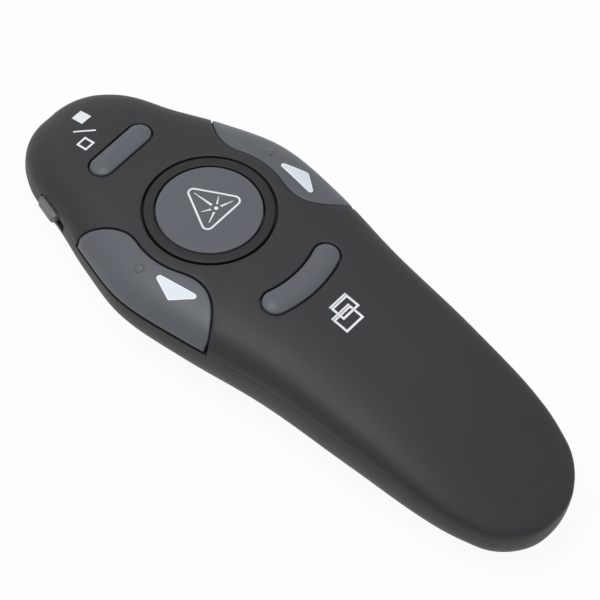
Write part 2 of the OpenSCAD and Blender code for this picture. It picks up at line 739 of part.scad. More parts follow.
// Slide switch under the board, with a pocket that its lever runs in
module power_switch() {
    lever_x = slider_plate_x + slider_plate_t;
    body = [3.6, 6.2 + slider_travel, 3.2];
    under_z = board_under_z - seam_z(slider_y);
    color("#b9bcc0")
    at_slider()
        difference() {
            translate([lever_x + 0.6, -body[1] + 3, under_z - body[2]]) cube(body);
            translate([lever_x, -1.4 - slider_travel, under_z - 2.15])
                cube([lever_l + fit_gap, 2.8 + slider_travel, 1.6]);
        }
}
module power_lever() {
    color("#f0f0ee")
    at_slider()
        translate([slider_plate_x + slider_plate_t, -1, board_under_z - seam_z(slider_y) - 1.95])
            cube([lever_l, 2, 1.2]);
}
module power_slider() {
    grip = [slider_proud + slider_plate_x + 0.1, slider_l, slider_h];
    plate = [slider_plate_t, slider_plate_l, slider_h + 2 * fit_gap + 0.5];
    corner = 0.9;
    color("#8f9194")
    at_slider() {
        // Grip, smooth, with its outer ends rounded
        translate([-slider_proud, -grip[1] / 2, -grip[2] / 2])
            linear_extrude(grip[2])
                translate([corner, corner]) {
                    translate([0, -corner]) square([grip[0] - corner, grip[1]]);
                    translate([-corner, 0]) square([grip[0], grip[1] - 2 * corner]);
                    for (v = [0, grip[1] - 2 * corner]) translate([0, v]) circle(r = corner);
                }
        translate([slider_plate_x, -plate[1] / 2, -plate[2] / 2]) cube(plate);
    }
}

// ---------- laser ----------
module along_laser(y) {
    translate([0, y, laser_z]) rotate([-90, 0, 0]) children();
}
module laser_barrel() {
    color("#b08d4c")
    along_laser(barrel_back_y) difference() {
        cylinder(r = barrel_r, h = barrel_l);
        translate([0, 0, -1]) cylinder(r = barrel_r - 0.7, h = 4.5);
        translate([0, 0, 2]) cylinder(r = 1.3, h = barrel_l);
        translate([0, 0, barrel_l - 2.5]) cylinder(r = lens_r + 0.05, h = 3);
    }
}
module laser_lens() {
    bulge_r = 3.4;
    color("#cfe3ee")
    along_laser(barrel_front_y - 2.5) intersection() {
        cylinder(r = lens_r, h = 2);
        translate([0, 0, 1.8 - bulge_r]) sphere(r = bulge_r);
    }
}
module laser_diode() {
    color("#c8b060")
    along_laser(barrel_back_y + 0.3) {
        cylinder(r = barrel_r - 0.75, h = 0.8);
        translate([0, 0, 0.8]) cylinder(r = 1.2, h = 2.6);
    }
}
module laser_bezel() {
    color("#2a2a2c")
    along_laser(half_l - 3.5) difference() {
        cylinder(r = barrel_r + 0.1, h = 2.7);
        translate([0, 0, -1]) cylinder(r = exit_r, h = 6);
        translate([0, 0, 1.7]) cylinder(r1 = exit_r, r2 = exit_r + 1.2, h = 1.2);
    }
}
module diode_leads() {
    lead_r = 0.25;
    rise = board_under_z - laser_z;
    color("#c8b060")
    for (side = [-1, 1]) {
        along_laser(barrel_back_y - 1.6) translate([side * 1.2, 0, 0]) cylinder(r = lead_r, h = 1.9);
        translate([side * 1.2, barrel_back_y - 1.6, laser_z - lead_r]) cylinder(r = lead_r, h = rise + lead_r);
    }
}

// ---------- batteries ----------
module cell(back_y, nub_front) {
    nub_r = 2.7;
    nub_l = 1;
    along = nub_front ? 0 : 1;
    translate([0, back_y + along * cell_l, cell_z]) mirror([0, along, 0]) rotate([-90, 0, 0]) {
        cylinder(r = cell_d / 2, h = cell_l - nub_l);
        cylinder(r = nub_r, h = cell_l);
    }
}
module left_cell() {
    color("#6f8f3a") translate([-cell_x, 0, 0]) cell(cell_back_y, true);
}
module right_cell() {
    color("#6f8f3a") translate([cell_x, 0, 0]) cell(cell_back_y - spring_l, false);
}
// Conical contact spring, wound from its wide end at y = 0 to its narrow end
module contact_spring(length) {
    wire_r = 0.25;
    turns = 3.5;
    per_turn = 14;
    wide = 3.6;
    narrow = 1.8;
    sides = 6;
    n = turns * per_turn;
    rings = [
        for (i = [0 : n])
            let (t = i / n, a = 360 * turns * t, r = lerp(wide, narrow, t), y = lerp(wire_r, length - wire_r, t))
            [for (j = [0 : sides - 1])
                let (b = 360 * j / sides, q = r + wire_r * cos(b))
                [q * cos(a), y + wire_r * sin(b), q * sin(a)]]
    ];
    middles = [for (r = [rings[0], rings[n]]) (r[0] + r[3]) / 2];
    points = concat([for (r = rings) each r], middles);
    last = (n + 1) * sides;
    faces = concat(
        [for (i = [0 : n - 1], j = [0 : sides - 1], half = [0, 1])
            let (a = i * sides + j, b = i * sides + (j + 1) % sides)
            half == 0 ? [a, b + sides, b] : [a, a + sides, b + sides]],
        [for (j = [0 : sides - 1]) [last, j, (j + 1) % sides]],
        [for (j = [0 : sides - 1]) [last + 1, n * sides + (j + 1) % sides, n * sides + j]]
    );
    polyhedron(points, faces, convexity = 10);
}
module contact_springs() {
    color("#c9ccd0") {
        translate([cell_x, cell_front_y, cell_z]) mirror([0, 1, 0]) contact_spring(spring_l);
        translate([-cell_x, cell_back_y - spring_l, cell_z]) contact_spring(spring_l);
    }
}
// Front plates, each with a strap that goes over the bay wall to the board
module contact_plates() {
    sheet = plate_t - 0.05;
    strap_w = 2.4;
    strap_z = board_z + 0.4;
    strap_l = board_back_y + 1 - cell_front_y;
    color("#c9ccd0")
    for (side = [-1, 1]) translate([side * cell_x, cell_front_y, 0]) {
        translate([-contact_w / 2, 0, cell_z - contact_h / 2]) cube([contact_w, sheet, contact_h]);
        translate([-strap_w / 2, 0, cell_z]) cube([strap_w, sheet, strap_z + sheet - cell_z]);
        translate([-strap_w / 2, 0, strap_z]) cube([strap_w, strap_l, sheet]);
        translate([-strap_w / 2, strap_l - sheet, board_z]) cube([strap_w, sheet, strap_z - board_z + sheet]);
    }
}
module bridge_contact() {
    color("#c9ccd0")
    translate([-cell_x - contact_w / 2 + 0.4, bay_back_y + 0.05, cell_z - contact_h / 2])
        cube([2 * cell_x + contact_w - 0.8, plate_t - 0.05, contact_h]);
}
module battery_door() {
    length = door_front_y - door_back_y;
    color("#333335")
    union() {
        difference() {
            intersection() {
                skin_slab(false, door_inset, door_inset + door_t, door_back_y - 2, door_front_y + 2,
                    function(s) 30, 150, 12, 16);
                translate([-door_w / 2, door_back_y, -1]) cube([door_w, length, cell_z]);
            }
            // Slots that free the latch tongue
            for (side = [-1, 1])
                translate([side * latch_w / 2 - 0.4, door_front_y - latch_l, -1]) cube([0.8, latch_l + 1, 6]);
            translate([-knuckle_w / 2, door_back_y - 1, -1]) cube([knuckle_w, 1 + door_t / 2, 1.2 + door_t]);
            // Hollows of the inner face, so that the door swings clear of the cells
            for (side = [-1, 1])
                translate([side * cell_x, door_back_y - 1, cell_z])
                    rotate([-90, 0, 0]) cylinder(r = cell_d / 2 + fit_gap, h = length + 2);
        }
        // Round knuckle that the door turns on
        translate([-knuckle_w / 2, door_back_y + door_t / 2, door_inset + door_t / 2])
            rotate([0, 90, 0]) cylinder(d = door_t, h = knuckle_w);
        // Tab that hooks under the shell at the hinge end
        translate([-tab_w / 2, door_back_y - tab_l, wall + 0.2]) cube([tab_w, tab_l + 1.5, tab_t]);
        translate([-tab_w / 2, door_back_y + door_t / 2, door_inset + door_t / 2])
            cube([tab_w, 1, wall + 0.2 + tab_t - door_inset - door_t / 2]);
    }
}

// ---------- screws ----------
module screw(at, seat, head_h, length, r_head) {
    disc_at(at, seat - head_h, seat, r_head);
    disc_at(at, seat - head_h / 2, seat + length, screw_r);
}
module case_screws() {
    color("#9a9da1")
    for (at = case_screw_at)
        difference() {
            screw(at, screw_seat_z, screw_head_h,
                min(screw_l, roof_z(at[0], at[1], wall) - 0.6 - screw_seat_z), screw_head_r);
            translate([at[0], at[1], screw_seat_z - screw_head_h]) {
                for (turn = [0, 90]) rotate([0, 0, turn]) cube([2.2, 0.5, 1.2], center = true);
            }
        }
}
module board_screws() {
    color("#9a9da1")
    for (at = board_screw_at) screw(at, board_under_z, 1, board_screw_l - 0.4, 1.7);
}

// ---------- receiver ----------
module receiver_cap() {
    edge = 1;
    color("#2c2c2e")
    difference() {
        translate([0, cap_back_y, cap_mid_z]) rotate([-90, 0, 0]) linear_extrude(cap_l) {
            square([cap_w - 2 * edge, cap_h], center = true);
            square([cap_w, cap_h - 2 * edge], center = true);
            for (u = [-1, 1], v = [-1, 1])
                translate([u * (cap_w / 2 - edge), v * (cap_h / 2 - edge)]) circle(r = edge);
        }
        translate([-plug_w / 2, cap_back_y - 1, cap_mid_z - plug_h / 2]) cube([plug_w, 5, plug_h]);
    }
}
module usb_shield() {
    sheet = 0.3;
    color("#c9ccd0")
    difference() {
        translate([-plug_w / 2, plug_back_y, cap_mid_z - plug_h / 2]) cube([plug_w, plug_l + 3, plug_h]);
        translate([-plug_w / 2 + sheet, plug_back_y - 1, cap_mid_z - plug_h / 2 + sheet])
            cube([plug_w - 2 * sheet, plug_l + 2 + 1.5, plug_h - 2 * sheet]);
        for (x = [-3.2, 3.2])
            translate([x - 1.1, plug_back_y + 5.5, cap_mid_z - plug_h]) cube([2.2, 2.2, 2 * plug_h]);
    }
}
module usb_tongue() {
    color("#1c1c1e")
    translate([-plug_w / 2 + 0.4, plug_back_y + 0.4, cap_mid_z - plug_h / 2 + 0.32])
        cube([plug_w - 0.8, plug_l, 1.7]);
}
module usb_contacts() {
    color("#d0ad4e")
    for (x = [-3.5, -1, 1, 3.5])
        translate([x - 0.5, plug_back_y + 1.2, cap_mid_z - plug_h / 2 + 2.02]) cube([1, 7.5, 0.15]);
}
module receiver_board() {
    color("#1f6b3c")
    translate([-plug_w / 2 + 0.6, plug_back_y + plug_l + 0.5, cap_mid_z - plug_h / 2 + 0.4])
        cube([plug_w - 1.2, 1.9, 3.4]);
}

upper_shell();
lower_shell();
ring_bezel();
laser_button();
previous_button();
next_button();
blank_screen_button();
window_button();
laser_plunger();
previous_plunger();
next_plunger();
blank_screen_plunger();
window_plunger();
key_switches();
main_board();
radio_chip();
crystal_can();
chip_parts();
power_switch();
power_lever();
power_slider();
laser_barrel();
laser_diode();
laser_lens();
laser_bezel();
diode_leads();
left_cell();
right_cell();
contact_springs();
contact_plates();
bridge_contact();
battery_door();
case_screws();
board_screws();
receiver_cap();
usb_shield();
usb_tongue();
usb_contacts();
receiver_board();
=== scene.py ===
import functools
import math

import bpy
import bmesh
from mathutils import Matrix, Vector
from mathutils.geometry import delaunay_2d_cdt


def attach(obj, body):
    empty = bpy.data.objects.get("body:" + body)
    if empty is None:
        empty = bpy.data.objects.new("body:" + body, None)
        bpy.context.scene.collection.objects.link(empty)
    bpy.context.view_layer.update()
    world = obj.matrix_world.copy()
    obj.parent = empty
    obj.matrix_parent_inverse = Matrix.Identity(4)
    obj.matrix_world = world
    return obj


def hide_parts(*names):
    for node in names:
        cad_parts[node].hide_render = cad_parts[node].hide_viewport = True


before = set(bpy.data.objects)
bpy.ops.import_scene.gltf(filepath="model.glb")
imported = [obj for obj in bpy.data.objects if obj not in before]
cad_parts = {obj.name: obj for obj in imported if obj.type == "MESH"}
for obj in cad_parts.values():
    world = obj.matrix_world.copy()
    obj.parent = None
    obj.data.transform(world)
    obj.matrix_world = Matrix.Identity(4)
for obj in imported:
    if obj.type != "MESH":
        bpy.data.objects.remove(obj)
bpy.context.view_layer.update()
print("stage: frame loaded,", len(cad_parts), "nodes")

# The housing's form, in millimetres, as the solids have it
form = {
    "length": 128.0, "noseRound": 15.9, "tailRound": 8.7, "endPower": 2.23,
    "seamMid": 15.4, "seamNose": 6.7, "seamTail": 10.6, "seamGap": 0.12, "wall": 1.6,
    "plan": [(0.047, 14.3), (0.125, 15.65), (0.219, 20.1), (0.3125, 23.3), (0.422, 22.3),
             (0.5625, 19.25), (0.719, 17.65), (0.875, 15.45), (0.984, 10.6)],
    "crown": [(0.031, 7.1), (0.172, 7.1), (0.359, 7.4), (0.531, 6.8), (0.75, 5.3), (0.953, 2.3)],
    "powerX": [(0.06, 2.9), (0.24, 4.0), (0.47, 4.0), (0.92, 2.9)],
    "powerZ": [(0.06, 3.2), (0.24, 2.8), (0.47, 2.8), (0.92, 2.9)],
    "crownEnd": 0.8, "bellyEnd": 0.6, "riseCurve": 4,
    "lip": 1.0, "lipShare": 0.35, "lipClear": 1, "lipFade": 2, "lipLeast": 0.05,
    "noseRise": 1.6, "tailRise": 0.8, "bellyFlat": 0.5, "bellyPower": 2.6,
}
halfLength = form["length"] / 2
boardTop = 11.5
plungerTop = 14.3


def clamp01(v):
    return min(1.0, max(0.0, v))


def curveAt(points, s):
    # the same smooth curve as the source draws through its stations
    i = 0
    while i < len(points) - 2 and s >= points[i + 1][0]:
        i += 1

    def slope(k):
        a, b = points[max(k - 1, 0)], points[min(k + 1, len(points) - 1)]
        return (b[1] - a[1]) / (b[0] - a[0])

    h = points[i + 1][0] - points[i][0]
    t = clamp01((s - points[i][0]) / h)
    return ((2 * t ** 3 - 3 * t * t + 1) * points[i][1] + (t ** 3 - 2 * t * t + t) * h * slope(i)
            + (3 * t * t - 2 * t ** 3) * points[i + 1][1] + (t ** 3 - t * t) * h * slope(i + 1))


def endCap(s):
    u = clamp01(1 - s * form["length"] / form["noseRound"])
    v = clamp01(1 - (1 - s) * form["length"] / form["tailRound"])
    p = form["endPower"]
    return (max(0.0, 1 - u ** p) * max(0.0, 1 - v ** p)) ** (1 / p)


def shareOf(y):
    return 0.5 - y / form["length"]


def seamZ(y):
    t = y / halfLength
    nose, tail, mid = form["seamNose"], form["seamTail"], form["seamMid"]
    return mid + (nose - tail) / 2 * t + ((nose + tail) / 2 - mid) * t * t


def planWide(s, depth=0.0):
    # half the width at a station, with a depth under the skin
    return (curveAt(form["plan"], s) - depth) * endCap(s)


def crownHigh(s, depth=0.0):
    # the roof's height over the parting line at a station
    return (curveAt(form["crown"], s) - depth) * endCap(s) ** form["crownEnd"]


def halfWidth(y):
    return planWide(shareOf(y))


def roofZ(x, y, depth=0.0):
    s = shareOf(y)
    u = min(0.999, abs(x) / max(1e-6, planWide(s, depth)))
    return (seamZ(y) + form["seamGap"] / 2 + crownHigh(s, depth)
            * (1 - u ** curveAt(form["powerX"], s)) ** (1 / curveAt(form["powerZ"], s)))


def placingRoof(x, y, depth=0.0):
    # the height that the solids place narrow keys, dots and screws by, without half the seam gap
    return roofZ(x, y, depth) - form["seamGap"] / 2


# Shader maths
class Wire:
    # one socket, with the operators that the finishes use
    def __init__(self, tree, socket):
        self.tree = tree
        self.socket = socket

    def math(self, operation, other=None, swap=False):
        node = self.tree.nodes.new("ShaderNodeMath")
        node.operation = operation
        first, second = (other, self) if swap else (self, other)
        for slotIndex, value in enumerate([first, second]):
            if isinstance(value, Wire):
                self.tree.links.new(value.socket, node.inputs[slotIndex])
            elif value is not None:
                node.inputs[slotIndex].default_value = value
        return Wire(self.tree, node.outputs[0])

    def __add__(self, other):
        return self.math("ADD", other)

    def __radd__(self, other):
        return self.math("ADD", other, swap=True)

    def __sub__(self, other):
        return self.math("SUBTRACT", other)

    def __rsub__(self, other):
        return self.math("SUBTRACT", other, swap=True)

    def __mul__(self, other):
        return self.math("MULTIPLY", other)

    def __rmul__(self, other):
        return self.math("MULTIPLY", other, swap=True)


def addNode(tree, kind, settings=None, outlet=0, **values):
    # any node: its settings first, then the values or links of its sockets
    node = tree.nodes.new(kind)
    for key, value in (settings or {}).items():
        if key == "stops":
            ramp = node.color_ramp
            while len(ramp.elements) > 1:
                ramp.elements.remove(ramp.elements[-1])
            for index, (at, tone) in enumerate(value):
                stop = ramp.elements[0] if index == 0 else ramp.elements.new(at)
                stop.position = at
                stop.color = tone
        else:
            setattr(node, key, value)
    for key, value in values.items():
        if key.startswith("in") and key[2:].isdigit():
            socket = node.inputs[int(key[2:])]
        else:
            label = key.replace("_", " ")
            socket = next(s for s in node.inputs if s.name == label and s.enabled)
        if isinstance(value, Wire):
            tree.links.new(value.socket, socket)
        else:
            socket.default_value = value
    return Wire(tree, node.outputs[outlet])


class Finish:
    # a material with its Principled shader
    def __init__(self, name, **constants):
        self.material = bpy.data.materials.new(name)
        self.material.use_nodes = True
        self.tree = self.material.node_tree
        self.shader = next(n for n in self.tree.nodes if n.type == "BSDF_PRINCIPLED")
        for socketName, value in constants.items():
            self.shader.inputs[socketName.replace("_", " ")].default_value = value

    def add(self, kind, settings=None, outlet=0, **values):
        return addNode(self.tree, kind, settings, outlet, **values)

    def feed(self, socketName, wire):
        self.tree.links.new(wire.socket, self.shader.inputs[socketName])

    def place(self):
        return self.add("ShaderNodeTexCoord", outlet=3)

    def noise(self, scale, detail=2.0):
        # scale is in grains per metre on Object coordinates
        return self.add("ShaderNodeTexNoise", Vector=self.place(), Scale=scale, Detail=detail)

    def mix(self, factor, one, two):
        return self.add("ShaderNodeMix", {"data_type": "RGBA"}, outlet=2, in0=factor, in6=one, in7=two)

    def bump(self, height, strength, distance):
        self.feed("Normal", self.add("ShaderNodeBump", Height=height, Strength=strength, Distance=distance))


def rgb(hexCode, alpha=1.0):
    tones = [int(hexCode[i:i + 2], 16) / 255 for i in (0, 2, 4)]
    return (*[t / 12.92 if t <= 0.04045 else ((t + 0.055) / 1.055) ** 2.4 for t in tones], alpha)


# Noise in grains per metre, spreads of roughness, and bumps in metres
surface = {
    "cloud": 45.0, "gloss": 160.0, "glossSpread": 0.1, "grainDepth": 0.00004,
    "streak": 2600.0, "streakSpread": 0.16, "streakBump": 0.08, "streakDepth": 0.00003,
    "weave": 420.0, "trackEdge": (0.5, 0.62), "maskGloss": 0.36, "maskSpread": 0.12, "inkCloud": 1800.0,
    "jacketCloud": 900.0, "jacketGloss": 0.3, "jacketSpread": 0.08, "bandEdge": 0.0004, "glassCloud": 200.0,
}


def mouldedPlastic(name, dark, light, roughness, grain=9000.0, texture=0.12, **constants):
    # matt plastic: a faint cloud in the tone, uneven gloss, fine moulded grain
    f = Finish(name, **constants)
    spread = surface["glossSpread"]
    f.feed("Base Color", f.mix(f.noise(surface["cloud"], 3.0), rgb(dark), rgb(light)))
    f.feed("Roughness", roughness - spread / 2 + spread * f.noise(surface["gloss"], 4.0))
    f.bump(f.noise(grain), texture, surface["grainDepth"])
    return f.material


def brushedMetal(name, dark, light, roughness, stretch=(1.0, 0.06, 1.0)):
    f = Finish(name, Metallic=1.0)
    spread = surface["streakSpread"]
    run = f.add("ShaderNodeMapping", Vector=f.place(), Scale=stretch)
    streak = f.add("ShaderNodeTexNoise", Vector=run, Scale=surface["streak"], Detail=3.0)
    f.feed("Base Color", f.mix(streak, rgb(dark), rgb(light)))
    f.feed("Roughness", roughness - spread / 2 + spread * streak)
    f.bump(streak, surface["streakBump"], surface["streakDepth"])
    return f.material


def printedInk(name, dark, light):
    f = Finish(name, Roughness=0.45, Specular_IOR_Level=0.25)
    f.feed("Base Color", f.mix(f.noise(surface["inkCloud"]), rgb(dark), rgb(light)))
    return f.material


def boardMask():
    # solder mask with paler tracks under it
    f = Finish("board mask", Coat_Weight=0.3, Coat_Roughness=0.2)
    weave = f.add("ShaderNodeTexVoronoi", {"distance": "MANHATTAN", "feature": "F2"},
                  Vector=f.place(), Scale=surface["weave"])
    tracks = {"stops": list(zip(surface["trackEdge"], (rgb("0E4427"), rgb("1C6A3E"))))}
    f.feed("Base Color", f.add("ShaderNodeValToRGB", tracks, Fac=weave))
    f.feed("Roughness", surface["maskGloss"] + surface["maskSpread"] * weave)
    return f.material


def cellJacket(name, bandY, backwards):
    # plain two-tone jacket: a dark sleeve with a lighter button end, no lettering
    f = Finish(name, Metallic=0.6)
    along = f.add("ShaderNodeSeparateXYZ", outlet=1, Vector=f.place())
    sleeveTone, buttonTone = rgb("3B4A52"), rgb("6E8F3C")
    low, high = (buttonTone, sleeveTone) if backwards else (sleeveTone, buttonTone)
    band = f.add("ShaderNodeMapRange", Value=along, From_Min=bandY, From_Max=bandY + surface["bandEdge"])
    f.feed("Base Color", f.mix(band, low, high))
    f.feed("Roughness", surface["jacketGloss"] + surface["jacketSpread"] * f.noise(surface["jacketCloud"]))
    return f.material


def lensGlass():
    f = Finish("lens glass", Roughness=0.03, IOR=1.52, Alpha=0.45)
    f.feed("Base Color", f.mix(f.noise(surface["glassCloud"]), rgb("DCE9EF"), rgb("EAF3F6")))
    return f.material


def makeFinishes():
    soft = {"Specular_IOR_Level": 0.26}
    return {
        "softTouchTop": mouldedPlastic("soft touch top", "2A2A2C", "2F2F32", 0.5, **soft),
        "softTouchBelly": mouldedPlastic("soft touch belly", "232325", "28282A", 0.5, **soft),
        "ringPlastic": mouldedPlastic("trim ring plastic", "1B1B1D", "202022", 0.46, **soft),
        "keyPlastic": mouldedPlastic("key plastic", "575B61", "5E6268", 0.42, texture=0.07, **soft),
        "sliderPlastic": mouldedPlastic("slider plastic", "5F6062", "6B6C6E", 0.45),
        "blackPlastic": mouldedPlastic("inner black plastic", "1B1B1D", "232325", 0.5, grain=6000.0),
        "whitePlastic": mouldedPlastic("lever plastic", "E2E1DA", "EDEDE8", 0.45),
        "chipCeramic": mouldedPlastic("chip ceramic", "8A6A4B", "9C7A58", 0.6, grain=20000.0),
        "platedSteel": brushedMetal("plated steel", "A6A9AE", "C6C9CE", 0.34),
        "screwSteel": brushedMetal("screw steel", "8E9196", "AEB2B7", 0.4, (1.0, 1.0, 0.1)),
        "drawnBrass": brushedMetal("drawn brass", "A9853F", "C7A257", 0.36),
        "gold": brushedMetal("gold plate", "C79A3C", "DDB456", 0.3),
        "boardMask": boardMask(),
        "leftJacket": cellJacket("left cell jacket", -0.0187, False),
        "rightJacket": cellJacket("right cell jacket", -0.0421, True),
        "lensGlass": lensGlass(),
        "iconWhite": printedInk("icon ink", "E3E7EC", "F2F5F8"),
        "arrowInk": printedInk("arrow ink", "DCE4ED", "E6ECF3"),
        "arrowRim": printedInk("arrow rim ink", "F0F3F6", "FBFCFD"),
    }


finishes = makeFinishes()
print("stage: finishes made,", len(finishes))

# CAD nodes that keep their own mesh and only get a finish
wears = {
    "blackPlastic": ["laser_plunger", "previous_plunger", "next_plunger", "blank_screen_plunger",
                     "window_plunger", "radio_chip", "usb_tongue"],
    "whitePlastic": ["power_lever"],
    "chipCeramic": ["chip_parts"],
    "platedSteel": ["key_switches", "crystal_can", "power_switch", "contact_plates", "bridge_contact"],
    "drawnBrass": ["laser_diode", "diode_leads"],
    "gold": ["usb_contacts"],
    "boardMask": ["main_board", "receiver_board"],
}
for finishName, nodeNames in wears.items():
    for nodeName in nodeNames:
        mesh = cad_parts[nodeName].data
        mesh.materials.clear()
        mesh.materials.append(finishes[finishName])
print("stage: solids dressed")


# Meshes in the frame, from lists in millimetres
# how close points are merged, in metres: in a plain mesh, in its thin faces, and after a cut
mergeWithin = {"plain": 1e-7, "thin": 1e-8, "cut": 1e-6}


def dress(thing, material, angle):
    # smooth shading that keeps edges sharper than angle
    mesh = thing.data
    mesh.materials.clear()
    mesh.materials.append(material)
    for face in mesh.polygons:
        face.use_smooth = True
        face.material_index = 0
    mesh.set_sharp_from_angle(angle=math.radians(angle))
    return thing


def meshPiece(name, points, faces, material, angle=40):
    mesh = bpy.data.meshes.new(name)
    mesh.from_pydata([[c / 1000 for c in p] for p in points], [], faces)
    bm = bmesh.new()
    bm.from_mesh(mesh)
    bmesh.ops.remove_doubles(bm, verts=bm.verts, dist=mergeWithin["plain"])
    bmesh.ops.dissolve_degenerate(bm, edges=bm.edges, dist=mergeWithin["thin"])
    bmesh.ops.recalc_face_normals(bm, faces=bm.faces)
    bm.to_mesh(mesh)
    bm.free()
    thing = bpy.data.objects.new(name, mesh)
    bpy.context.scene.collection.objects.link(thing)
    return dress(thing, material, angle)


def loft(rings, closed=False):
    # a skin over rings of equally many points; an end that isn't drawn to a point is filled
    count = len(rings[0])
    points = [p for ring in rings for p in ring]
    faces = []
    last = len(rings) if closed else len(rings) - 1
    for i in range(last):
        a, b = i * count, (i + 1) % len(rings) * count
        for j in range(count):
            k = (j + 1) % count
            faces.append([a + j, a + k, b + k, b + j])
    if not closed:
        for base in (0, (len(rings) - 1) * count):
            if math.dist(points[base], points[base + count // 2]) > 1e-4:
                faces.append([base + j for j in range(count)])
    return points, faces


def lathe(profile, place, count=48, closed=False):
    # a turned solid: profile gives radius and height, place maps its own frame to ours
    return loft([[place(r * math.cos(2 * math.pi * j / count), r * math.sin(2 * math.pi * j / count), h)
                  for j in range(count)] for r, h in profile], closed)


def upright(x, y, z=0.0):
    return lambda a, b, h: (x + a, y + b, z + h)


def forward(x, y, z):
    # the turned solid's own height runs towards the nose
    return lambda a, b, h: (x + a, y + h, z - b)


def backward(x, y, z):
    return lambda a, b, h: (x + a, y - h, z + b)


def block(low, high, place=upright(0, 0)):
    corners = [(low[0], low[1]), (high[0], low[1]), (high[0], high[1]), (low[0], high[1])]
    return meshPiece("block", *loft([[place(x, y, z) for x, y in corners] for z in (low[2], high[2])]),
                     finishes["softTouchBelly"])


def post(place, radius, low, high):
    return meshPiece("post", *lathe([(0, low), (radius, low), (radius, high), (0, high)], place),
                     finishes["softTouchBelly"])


def settle(thing):
    # takes what the modifiers make as a plain mesh
    graph = bpy.context.evaluated_depsgraph_get()
    result = bpy.data.meshes.new_from_object(thing.evaluated_get(graph), depsgraph=graph)
    thing.modifiers.clear()
    thing.data = result
    return thing


def carve(thing, tools, operation="DIFFERENCE"):
    # cuts, joins or meets a piece with the tools, and clears the slivers that this leaves
    group = bpy.data.collections.new("tools")
    bpy.context.scene.collection.children.link(group)
    for tool in tools:
        bpy.context.scene.collection.objects.unlink(tool)
        group.objects.link(tool)
    cut = thing.modifiers.new("carve", "BOOLEAN")
    cut.operation = operation
    cut.operand_type = "COLLECTION"
    cut.collection = group
    cut.solver = "EXACT"
    settle(thing)
    for tool in tools:
        bpy.data.objects.remove(tool)
    bpy.data.collections.remove(group)
    bm = bmesh.new()
    bm.from_mesh(thing.data)
    bmesh.ops.remove_doubles(bm, verts=bm.verts, dist=mergeWithin["cut"])
    bmesh.ops.dissolve_degenerate(bm, edges=bm.edges, dist=mergeWithin["cut"])
    bm.to_mesh(thing.data)
    bm.free()
    return thing


def standsFor(thing, node, slot, body):
    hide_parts(node)
    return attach(thing, body)


softEdge = {"flatWithin": 2, "segments": 3, "sharperThan": 40}


def smoothCopy(node, slot, body, material, angle=32, soften=0.0):
    # the CAD node's own shape, merged, with smooth shading and, where asked, softened edges
    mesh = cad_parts[node].data.copy()
    bm = bmesh.new()
    bm.from_mesh(mesh)
    bmesh.ops.remove_doubles(bm, verts=bm.verts, dist=mergeWithin["cut"])
    if soften:
        bmesh.ops.dissolve_limit(bm, angle_limit=math.radians(softEdge["flatWithin"]), verts=bm.verts,
                                 edges=bm.edges)
    bm.to_mesh(mesh)
    bm.free()
    thing = bpy.data.objects.new(node + "_smooth", mesh)
    bpy.context.scene.collection.objects.link(thing)
    if soften:
        edge = thing.modifiers.new("soften", "BEVEL")
        edge.width = soften / 1000
        edge.segments = softEdge["segments"]
        edge.limit_method = "ANGLE"
        edge.angle_limit = math.radians(softEdge["sharperThan"])
        settle(thing)
    dress(thing, material, angle)
    return standsFor(thing, node, slot, body)


# Outlines seen from above: each is a list of points with the way out at each
def circleOutline(cx, cy, radius, count=120):
    turns = [2 * math.pi * i / count for i in range(count)]
    return [((cx + radius * math.cos(a), cy + radius * math.sin(a)), (math.cos(a), math.sin(a))) for a in turns]


def barOutline(cx, cy, span, width, ends=24, sides=14):
    line = []
    for side in (1, -1):
        for i in range(ends + 1):
            a = -side * math.pi / 2 + math.pi * i / ends
            out = (math.cos(a), math.sin(a))
            line.append(((cx + side * span / 2 + width / 2 * out[0], cy + width / 2 * out[1]), out))
        for i in range(1, sides):
            x = cx + side * (span / 2 - span * i / sides)
            line.append(((x, cy + side * width / 2), (0.0, float(side))))
    return line


def arcBarOutline(cx, cy, reach, sweep, width, ends=24, sides=28):
    # a bar bent round a centre, its middle straight behind it
    half = math.radians(sweep / 2)
    line = []

    def onArc(a, radius, out):
        way = (math.cos(a), math.sin(a))
        return ((cx + radius * way[0], cy + radius * way[1]), (out * way[0], out * way[1]))

    for i in range(sides + 1):
        line.append(onArc(1.5 * math.pi - half + 2 * half * i / sides, reach + width / 2, 1))
    for end in (1, -1):
        a = 1.5 * math.pi + end * half
        middle = (cx + reach * math.cos(a), cy + reach * math.sin(a))
        for i in range(1, ends):
            b = (a if end > 0 else a + math.pi) + math.pi * i / ends
            out = (math.cos(b), math.sin(b))
            line.append(((middle[0] + width / 2 * out[0], middle[1] + width / 2 * out[1]), out))
        if end > 0:
            for k in range(sides + 1):
                line.append(onArc(1.5 * math.pi + half - 2 * half * k / sides, reach - width / 2, -1))
    return line


def grown(outline, amount):
    return [(p[0] + out[0] * amount, p[1] + out[1] * amount) for p, out in outline]


# How an opening's upper edge is rounded: steps in degrees, then a flare in shares of its radius
openingEdge = {"steps": (0, 20, 40, 60), "flareOut": 1.19, "flareUp": 0.27, "top": 40.0, "wingSoften": 0.22}


def openingTool(outline, floor, soften, name):
    # cuts an opening whose upper edge is rounded off along the housing
    rings = [[(x, y, floor) for x, y in grown(outline, 0)]]
    for degrees in openingEdge["steps"]:
        a = math.radians(degrees)
        ring = grown(outline, soften * (1 - math.cos(a)))
        rings.append([(x, y, roofZ(x, y) - soften * (1 - math.sin(a))) for x, y in ring])
    flare = grown(outline, openingEdge["flareOut"] * soften)
    rings.append([(x, y, roofZ(x, y) + openingEdge["flareUp"] * soften) for x, y in flare])
    rings.append([(x, y, openingEdge["top"]) for x, y in flare])
    return meshPiece(name, *loft(rings), finishes["softTouchTop"])


